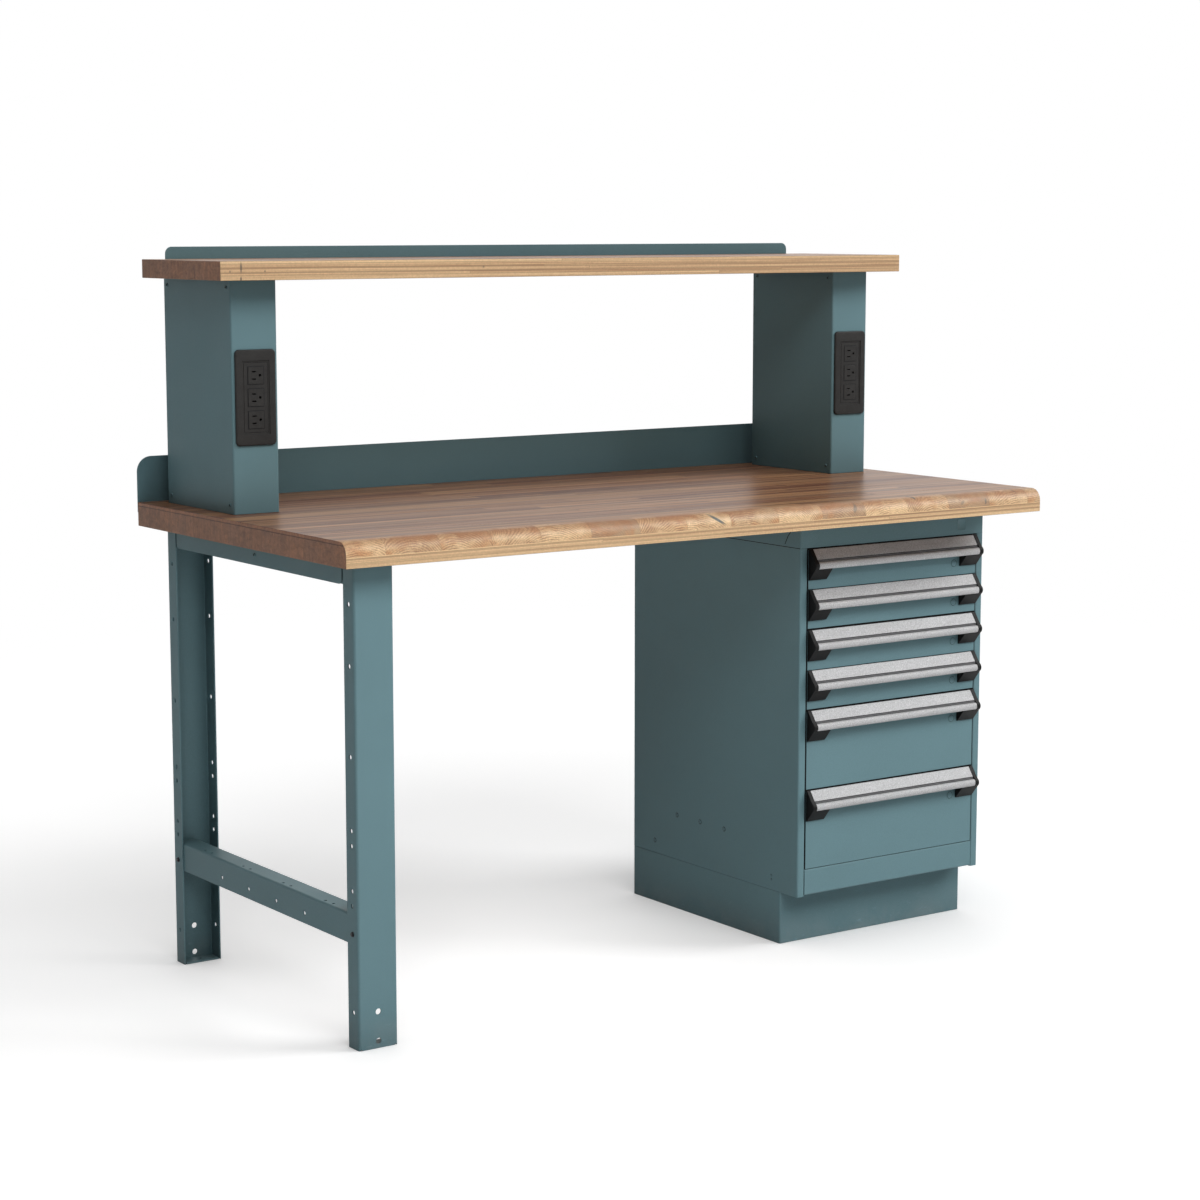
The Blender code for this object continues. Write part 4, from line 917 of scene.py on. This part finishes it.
    def mesh(self):
        """The board's mesh, which also holds each corner's place about the pith of its stave."""
        build, outline = self.build, self.outline()
        rings = [[build.verts.new((x, y, z)) for y, z in outline] for x in self.stations()]
        for left, right in zip(rings, rings[1:]):
            for k in range(len(outline)):
                n = (k + 1) % len(outline)
                face = build.faces.new((left[k], left[n], right[n], right[k]))
                self.mark(face, *self.facts_at(*face.calc_center_median()))
        self.cap(rings[0], self.low.x)
        self.cap(rings[-1], self.high.x)
        bmesh.ops.recalc_face_normals(build, faces=build.faces)
        build.faces.index_update()
        piths = {face.index: pith for face, pith in self.piths.items()}
        mesh = bpy.data.meshes.new(self.name)
        build.to_mesh(mesh)
        build.free()
        about = mesh.attributes.new("pith", "FLOAT_VECTOR", "CORNER")
        for polygon in mesh.polygons:
            pith_x, pith_z = piths[polygon.index]
            for i in polygon.loop_indices:
                x, y, z = mesh.vertices[mesh.loops[i].vertex_index].co
                about.data[i].vector = (x - pith_x, y, z - pith_z)
        mesh.shade_smooth()
        return mesh


def lay_board(name, node, *layout):
    """Lays a board from its rows, layers, layer top and block depth, and stands it in for its node."""
    mesh = Board(name, node, *layout).mesh()
    board = link_piece(name, mesh, BOARD_FINISHES, "frame")
    soften(board, width=0.0009, segments=3)
    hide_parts(node)


class LayWorktop(bpy.types.Operator):
    """Lay the maple worktop from its nosing blocks, layered edge and staves"""

    bl_idname = "bench.lay_worktop"
    bl_label = "Lay worktop"

    def execute(self, context):
        timber = context.scene.bench_timber
        layer_top = TOP_LOW.z + timber.layer_height
        lay_board("maple_worktop", "worktop", TOP_ROWS, TOP_LAYERS, layer_top, timber.block_depth)
        return {"FINISHED"}


class LayShelf(bpy.types.Operator):
    """Lay the maple riser shelf from its staves"""

    bl_idname = "bench.lay_shelf"
    bl_label = "Lay riser shelf"

    def execute(self, context):
        lay_board("maple_shelf", "riser_shelf", SHELF_ROWS, SHELF_LAYERS, SHELF_TOP, 0.0)
        return {"FINISHED"}


# ---------------------------------------------------------------------------- sheet metal


PAINTED = (
    "worktop_backstop", "shelf_backstop", "front_leg", "rear_leg", "leg_stretcher",
    "leg_top_angle", "cabinet_side_left", "cabinet_side_right", "cabinet_back", "cabinet_cap",
    "cabinet_bottom", "cabinet_base", "riser_column_left", "riser_column_right",
    "column_cover_left", "column_cover_right",
)  # fmt: skip


class CoatFrame(bpy.types.Operator):
    """Powder coat the legs, stretcher, cabinet, columns, covers and back stops"""

    bl_idname = "bench.coat_frame"
    bl_label = "Coat frame"

    def execute(self, context):
        for node in PAINTED:
            dress(node, "powder_coat", context.scene.bench_finishes.edge_round)
        self.gussets()
        self.header_blank()
        self.cap_folds()
        return {"FINISHED"}

    def gussets(self):
        """Thin plates behind the notches where the top angle meets the two legs."""
        low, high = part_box("leg_top_angle")
        front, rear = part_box("front_leg")[1].y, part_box("rear_leg")[0].y
        inset, half, thick, side = 0.006, 0.008, 0.0016, 0.0024
        foot, top = low.z + 0.0004, high.z - 0.0030
        build = bmesh.new()
        for y in (front + inset, rear - inset):
            for x in (low.x + side, high.x - side - thick):
                add_box(build, (x, y - half, foot), (x + thick, y + half, top))
        piece = piece_from("leg_gussets", build, PAINTED_ONLY, "frame")
        soften(piece, width=0.0004)

    def header_blank(self):
        """A square blank pressed in the cabinet's header for a master lock."""
        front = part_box("cabinet_cap")[0].y
        centre, width, height, radius = Vector((0.6685, 0.0, 0.7818)), 0.0241, 0.0234, 0.005
        steps = (
            (0.0, -0.0003),
            (0.0, 0.00015),
            (0.0005, 0.00045),
            (0.0013, 0.00045),
            (0.0019, 0.0001),
        )
        rings = []
        for inset, out in steps:
            sizes = (width - 2 * inset, height - 2 * inset, radius - inset)
            rings.append(rounded_ring(centre, *sizes, front - out))
        build = bmesh.new()
        build.faces.new(loft(build, rings)[-1])
        piece_from("header_blank", build, PAINTED_ONLY, "frame")

    def cap_folds(self):
        """Painted shade in the open corner fold on each side of the cabinet's cap, and in the seam below
        the cap.
        """
        low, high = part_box("cabinet_cap")
        path = (
            (-0.2415, 0.8062),
            (-0.2385, 0.7985),
            (-0.2340, 0.7905),
            (-0.2270, 0.7828),
            (-0.2181, 0.7671),
        )
        points = [Vector((0.0, y, z)) for y, z in path]
        half, proud = 0.0008, 0.00008
        build = bmesh.new()
        for x, out in ((low.x, -1.0), (high.x, 1.0)):
            rings = []
            for i, point in enumerate(points):
                along = (points[min(i + 1, len(points) - 1)] - points[max(i - 1, 0)]).normalized()
                side = Vector((0.0, -along.z, along.y)) * half
                lift = Vector((out * proud, 0.0, 0.0))
                middle = point + Vector((x, 0.0, 0.0))
                near, far = middle - side, middle + side
                rings.append([near - lift, near + lift, far + lift, far - lift])
            loops = loft(build, rings)
            build.faces.new(loops[0])
            build.faces.new(loops[-1])
            corner = (x + proud, high.y - 0.002, low.z + 0.0004)
            add_box(build, (x - proud, low.y + 0.002, low.z - 0.0008), corner)
        piece_from("cap_folds", build, ["dark_recess"], "frame")


class DressDrawers(bpy.types.Operator):
    """Coat the drawer trays, anodise the pulls and mould their end caps"""

    bl_idname = "bench.dress_drawers"
    bl_label = "Dress drawers"

    def execute(self, context):
        for number in range(1, DRAWERS + 1):
            drawer = f"drawer_{number}"
            dress(drawer + "_tray", "powder_coat", context.scene.bench_finishes.edge_round)
            dress(drawer + "_pull", "extruded_aluminium", width=0.0005)
            for side in ("left", "right"):
                dress(f"{drawer}_cap_{side}", "black_plastic", width=0.0009, segments=3)
            self.press_mark(drawer, context.scene.bench_hardware)
            self.groove_shade(drawer)
            self.gap_shade(drawer, number)
        return {"FINISHED"}

    def gap_shade(self, drawer, number):
        """A black strip round the drawer's front that fills the gap to its neighbours with painted
        shade.
        """
        low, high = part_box(drawer + "_tray")
        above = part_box("cabinet_cap" if number == 1 else f"drawer_{number - 1}_tray")[0].z - 0.0003
        front, back = low.y + 0.0005, low.y + 0.0060
        side = 0.0017
        build = bmesh.new()
        add_box(build, (low.x - side, front, low.z), (low.x, back, above))
        add_box(build, (high.x, front, low.z), (high.x + side, back, above))
        add_box(build, (low.x, front, high.z), (high.x, back, above))
        if number == DRAWERS:
            add_box(build, (low.x - side, front, low.z - 0.0006), (high.x + side, back, low.z))
        piece = piece_from(drawer + "_seal", build, ["gap_shade_strip"], drawer, sharp=30.0)
        soften(piece, width=0.0002, segments=1)

    def groove_shade(self, drawer):
        """A grey strip in the groove along the pull, painted shade for the groove."""
        low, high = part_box(drawer + "_pull")
        short = 0.0006
        front, back, foot, top = low.y + 0.0070, low.y + 0.0109, low.z + 0.0139, low.z + 0.0170
        build = bmesh.new()
        add_box(build, (low.x + short, front, foot), (high.x - short, back, top))
        piece = piece_from(drawer + "_pull_inlay", build, ["pull_groove_shade"], drawer)
        soften(piece, width=0.0003, segments=1)

    def press_mark(self, drawer, hardware):
        """A round lock blank pressed in the drawer's front, with a ring of painted shade where it is
        parted.
        """
        low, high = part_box(drawer + "_tray")
        middle = (high.x - hardware.mark_inset, low.y, high.z - hardware.mark_drop)
        place = facing(middle, (0.0, -1.0, 0.0))
        r = hardware.mark / 2.0
        lip, disc = r - 0.0012, r - 0.0018
        build = bmesh.new()
        rim = [(r, -0.0003), (r, 0.00015), (r - 0.0006, 0.00055), (lip, 0.00055)]
        parting = [(lip, 0.0), (lip, 0.00060), (lip - 0.0002, 0.00060)]
        button = [(disc, 0.0), (disc, 0.0007), (0.50 * r, 0.0007)]
        button += [(0.44 * r, 0.0011), (0.2 * r, 0.0010)]
        lathe(build, rim, place, turns=40)
        lathe(build, parting, place, turns=40, material=1)
        lathe(build, button, place, turns=40)
        piece_from(drawer + "_lock_mark", build, PAINTED_AND_DARK, drawer)


class DressSlides(bpy.types.Operator):
    """Plate the drawer slides and the racks that carry them"""

    bl_idname = "bench.dress_slides"
    bl_label = "Dress slides"

    def execute(self, context):
        for node in sorted(NODES):
            if node.startswith("slide_"):
                dress(node, "zinc_plate", width=0.0004)
        return {"FINISHED"}


# ---------------------------------------------------------------------------- outlets


class FitOutlets(bpy.types.Operator):
    """Fit the outlet face plates and their triple sockets"""

    bl_idname = "bench.fit_outlets"
    bl_label = "Fit outlets"

    def execute(self, context):
        for side in ("left", "right"):
            self.face_plate(side)
            dress("outlet_block_" + side, "outlet_plate", width=0.0005)
            self.socket_seam_shade(side)
        return {"FINISHED"}

    def socket_seam_shade(self, side):
        """Painted shade in the parting line round each of the three sockets."""
        low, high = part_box("outlet_block_" + side)
        pitch, inner, outer, radius = 0.0386, 0.0300, 0.0326, 0.0012
        deep, proud = low.y + 0.0012, low.y + 0.0008
        build = bmesh.new()
        for step in (-1, 0, 1):
            centre = (low + high) / 2.0 + Vector((0.0, 0.0, step * pitch))
            sizes = (inner, deep), (inner, proud), (outer, proud), (outer, deep)
            rings = [rounded_ring(centre, size, size, radius, y, steps=3) for size, y in sizes]
            loft(build, rings, close=True)
        piece_from("socket_seams_" + side, build, ["dark_recess"], "frame")

    def face_plate(self, side):
        """A crowned plate with a soft rim and a step down to its window."""
        low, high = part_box("outlet_plate_" + side)
        block_low, block_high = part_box("outlet_block_" + side)
        centre = (low + high) / 2.0
        w, h = high.x - low.x, high.z - low.z
        open_w, open_h = block_high.x - block_low.x + 0.0006, block_high.z - block_low.z + 0.0006
        rim, step, radius = 0.0013, 0.0034, 0.0075
        crown = high.y - low.y - rim

        def window(grow, radius, y):
            return rounded_ring(centre, open_w + grow, open_h + grow, radius, y)

        rings = [window(0.0, 0.0003, high.y), rounded_ring(centre, w, h, radius, high.y)]
        for k in range(7):
            a = 0.5 * math.pi * k / 6
            inset = 0.0024 * (1.0 - math.cos(a))
            y = low.y + crown - crown * math.sin(a)
            rings.append(rounded_ring(centre, w - 2 * inset, h - 2 * inset, radius - inset, y))
        rings.append(window(2 * step, 0.0022, low.y))
        rings.append(window(2 * step - 0.0008, 0.0018, low.y + 0.0012))
        rings.append(window(0.0008, 0.0007, low.y + 0.0013))
        rings.append(window(0.0, 0.0003, low.y + 0.0017))
        build = bmesh.new()
        loft(build, rings, close=True)
        name = "outlet_face_plate_" + side
        piece = piece_from(name, build, ["outlet_plate"], "frame", sharp=30.0)
        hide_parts("outlet_plate_" + side)


# ---------------------------------------------------------------------------- fastenings


class DriveFastenings(bpy.types.Operator):
    """Drive the screws, rivets and bolts that hold the sheet metal"""

    bl_idname = "bench.drive_fastenings"
    bl_label = "Drive fastenings"

    def execute(self, context):
        hardware = context.scene.bench_hardware
        # A second round over the one from the slides' step softens the racks' trimmed edges.
        for node in ("slide_rack_left", "slide_rack_right"):
            dress(node, "zinc_plate", width=0.0004)
        for side in ("left", "right"):
            self.column_screws(side, hardware)
        for side, out in (("left", -1.0), ("right", 1.0)):
            self.cabinet_rivets(side, out, hardware)
        self.stop_screws(hardware)
        self.leg_bolts(hardware)
        self.angle_screw(hardware)
        return {"FINISHED"}

    def column_screws(self, side, hardware):
        """Four painted screws on each cheek of a riser column."""
        low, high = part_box("riser_column_" + side)
        build = bmesh.new()
        for x, out in ((low.x, -1.0), (high.x, 1.0)):
            for y in (low.y + 0.0152, high.y - 0.0159):
                for z in (low.z + 0.0159, high.z - 0.0125):
                    pan_screw(build, facing((x, y, z), (out, 0.0, 0.0)), hardware.screw_head)
        piece_from("column_screws_" + side, build, PAINTED_AND_DARK, "frame")

    def cabinet_rivets(self, side, out, hardware):
        """Four rivets and two small ones low on a side of the cabinet, each at its y and z."""
        spots = ((0.1149, 0.1905), (0.0390, 0.1905), (-0.0382, 0.1905), (0.1891, 0.1255))
        small = ((-0.1863, 0.1285), (-0.1863, 0.1207))
        low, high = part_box("cabinet_side_" + side)
        x = low.x if out < 0.0 else high.x
        build = bmesh.new()
        for places, head in ((spots, hardware.rivet_head), (small, hardware.rivet_head * 0.5)):
            for y, z in places:
                dome_rivet(build, facing((x, y, z), (out, 0.0, 0.0)), head)
        piece_from("cabinet_rivets_" + side, build, PAINTED_AND_DARK, "frame")

    def stop_screws(self, hardware):
        """Six screws through the shelf's back stop into the shelf's back edge."""
        low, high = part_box("shelf_backstop")
        inset, height, last = 0.04, 1.2790, 5
        build = bmesh.new()
        for i in range(last + 1):
            x = low.x + inset + (high.x - low.x - 2.0 * inset) * i / last
            pan_screw(build, facing((x, high.y, height), (0.0, 1.0, 0.0)), hardware.screw_head)
        piece_from("shelf_backstop_screws", build, ["zinc_plate", "dark_recess"], "frame")

    def leg_bolts(self, hardware):
        """Hexagon bolts at the stretcher's ends."""
        height = 0.1961
        build = bmesh.new()
        for leg in ("front_leg", "rear_leg"):
            low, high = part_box(leg)
            middle = (low.x, (low.y + high.y) / 2.0, height)
            hex_bolt(build, facing(middle, (-1.0, 0.0, 0.0)), hardware.bolt_head)
        piece_from("leg_bolts", build, ["black_oxide"], "frame")

    def angle_screw(self, hardware):
        """A painted screw in the middle of the leg angle."""
        low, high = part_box("leg_top_angle")
        build = bmesh.new()
        middle = (low.x - 0.0001, (low.y + high.y) / 2.0, 0.7950)
        pan_screw(build, facing(middle, (-1.0, 0.0, 0.0)), hardware.screw_head)
        piece_from("leg_angle_screw", build, PAINTED_AND_DARK, "frame")


# ---------------------------------------------------------------------------- studio

# The floor's half width and level, and how far out it starts and ends its fade to white.
FLOOR_REACH = 40.0
FLOOR_LEVEL = -0.0003
FADE_START = 2.2
FADE_END = 4.5
WHITE = (1.0, 1.0, 1.0, 1.0)
BENCH_MIDDLE = Vector((0.0, 0.0, 0.8))


def seen_share(tree):
    """1 for rays from the camera and from gloss or glass, 0 for light that only fills."""
    path = tree.nodes.new("ShaderNodeLightPath")
    rays = (path.outputs[f"Is {kind} Ray"] for kind in ("Camera", "Glossy", "Transmission"))
    return most_of(tree, *rays)


class SetStage(bpy.types.Operator):
    """Set the floor, the soft lamps, the white surround and the camera"""

    bl_idname = "bench.set_stage"
    bl_label = "Set stage"

    def execute(self, context):
        studio = context.scene.bench_studio
        self.floor(studio)
        self.surround(context.scene, studio)
        self.lamps(context.scene, studio)
        self.camera(context.scene)
        context.scene.view_settings.view_transform = "Standard"
        return {"FINISHED"}

    def floor(self, studio):
        """A pale floor that keeps the bench's shadow and fades to white further out. Close to the bench
        its glow is darkened, a painted shadow.
        """
        material = bpy.data.materials.new("pale_floor")
        material.use_nodes = True
        tree = material.node_tree
        tree.nodes.clear()
        place = tree.nodes.new("ShaderNodeTexCoord").outputs["Object"]
        grain = noise(tree, place, 3.0, 3.0)
        matt = tint(tree, (studio.bounce,) * 3, swell(tree, grain, 0.98, 1.02))
        fill = wire(tree, "BsdfDiffuse", {"Color": matt})
        shown = wire(tree, "BsdfDiffuse", {"Color": (0.70, 0.70, 0.70, 1.0)})
        # Painted shadow: the floor's glow is darkened close to the bench and its feet.
        near = wire(tree, "AmbientOcclusion", {"Distance": 0.4}, samples=8)
        lift = wire(tree, "Emission", {"Color": near, "Strength": 0.65})
        shown = wire(tree, "AddShader", {0: shown, 1: lift})
        away = wire(tree, "VectorMath", {0: place}, 1, operation="LENGTH")
        plain = wire(tree, "Emission", {"Color": WHITE, "Strength": 1.0})
        fade = spread(tree, away, FADE_START, FADE_END)
        shown = wire(tree, "MixShader", {0: fade, 1: shown, 2: plain})
        out = tree.nodes.new("ShaderNodeOutputMaterial")
        mixed = wire(tree, "MixShader", {0: seen_share(tree), 1: fill, 2: shown})
        tree.links.new(mixed, out.inputs["Surface"])
        build = bmesh.new()
        bmesh.ops.create_grid(build, x_segments=8, y_segments=8, size=FLOOR_REACH)
        mesh = bpy.data.meshes.new("floor")
        build.to_mesh(mesh)
        build.free()
        mesh.materials.append(material)
        plane = bpy.data.objects.new("floor", mesh)
        plane.location = (0.0, 0.0, FLOOR_LEVEL)
        bpy.context.scene.collection.objects.link(plane)

    def surround(self, scene, studio):
        """White behind the bench, with its own strength for the light that it gives."""
        world = bpy.data.worlds.new("white_surround")
        world.use_nodes = True
        tree = world.node_tree
        tree.nodes.clear()
        fill = wire(tree, "Background", {"Color": WHITE, "Strength": studio.sky})
        seen = wire(tree, "Background", {"Color": WHITE, "Strength": 1.0})
        mixed = wire(tree, "MixShader", {0: seen_share(tree), 1: fill, 2: seen})
        out = tree.nodes.new("ShaderNodeOutputWorld")
        tree.links.new(mixed, out.inputs["Surface"])
        scene.world = world

    def lamps(self, scene, studio):
        """Four far soft lamps and a card that lies on the floor."""
        for name, turn, rise, size, power in (
            ("key_lamp", 58.0, 34.0, (12.0, 15.0), studio.key_power),
            ("front_lamp", 0.0, 46.0, (12.0, 14.0), studio.front_power),
            ("left_lamp", -30.0, 40.0, (11.0, 11.0), studio.left_power),
            ("back_lamp", 152.0, 20.0, (12.0, 10.0), studio.back_power),
        ):
            turn, rise = math.radians(turn), math.radians(rise)
            level = math.cos(rise)
            out = Vector((math.sin(turn) * level, -math.cos(turn) * level, math.sin(rise)))
            lamp = self.area_lamp(scene, name, size, power)
            lamp.location = BENCH_MIDDLE + out * studio.reach
            lamp.rotation_euler = out.to_track_quat("Z", "Y").to_euler()
        card = self.area_lamp(scene, "floor_card", (3.0, 2.6), studio.card_power)
        card.location = (-0.2, -2.2, 0.002)
        card.rotation_euler = (math.pi, 0.0, 0.0)

    def area_lamp(self, scene, name, size, power):
        """A lamp that the camera doesn't see."""
        data = bpy.data.lights.new(name, "AREA")
        data.shape = "RECTANGLE"
        data.size, data.size_y = size
        data.energy = power
        lamp = bpy.data.objects.new(name, data)
        lamp.visible_camera = False
        lamp.visible_glossy = name not in ("floor_card", "back_lamp")
        scene.collection.objects.link(lamp)
        return lamp

    def camera(self, scene):
        """A long lens in front on the left, a little above the worktop, looking slightly down."""
        data = bpy.data.cameras.new("camera")
        data.sensor_width = 36.0
        data.lens = 80.806
        data.clip_end = 200.0
        camera = bpy.data.objects.new("camera", data)
        camera.location = (-2.87591, -4.10253, 1.36350)
        camera.rotation_euler = (math.radians(90.0 - 8.0125), 0.0, math.radians(-35.0306))
        scene.collection.objects.link(camera)
        scene.camera = camera


# ---------------------------------------------------------------------------- panel and run


OPERATORS = (
    CoatFrame,
    LayWorktop,
    LayShelf,
    DressDrawers,
    DressSlides,
    FitOutlets,
    DriveFastenings,
    SetStage,
)


class BenchPanel(bpy.types.Panel):
    """Lists the steps of the bench and the sizes and colours they use"""

    bl_idname = "VIEW3D_PT_bench"
    bl_label = "Workbench"
    bl_space_type = "VIEW_3D"
    bl_region_type = "UI"
    bl_category = "Workbench"

    def draw(self, context):
        for name, group in SETTINGS.items():
            box = self.layout.box()
            for field in group.__annotations__:
                box.prop(getattr(context.scene, name), field)
        for operator in OPERATORS:
            self.layout.operator(operator.bl_idname)


def register():
    for group in (*SETTINGS.values(), *OPERATORS, BenchPanel):
        bpy.utils.register_class(group)
    for name, group in SETTINGS.items():
        setattr(bpy.types.Scene, name, bpy.props.PointerProperty(type=group))


def unregister():
    for name in SETTINGS:
        delattr(bpy.types.Scene, name)
    for group in reversed((*SETTINGS.values(), *OPERATORS, BenchPanel)):
        bpy.utils.unregister_class(group)


def main():
    """Dresses the bench."""
    for startup in ("Cube", "Light", "Camera"):
        if startup in bpy.data.objects:
            bpy.data.objects.remove(bpy.data.objects[startup])
    register()
    bpy.ops.bench.coat_frame()
    bpy.ops.bench.lay_worktop()
    bpy.ops.bench.lay_shelf()
    bpy.ops.bench.dress_drawers()
    bpy.ops.bench.dress_slides()
    bpy.ops.bench.fit_outlets()
    bpy.ops.bench.drive_fastenings()
    bpy.ops.bench.set_stage()


if __name__ == "__main__":
    main()
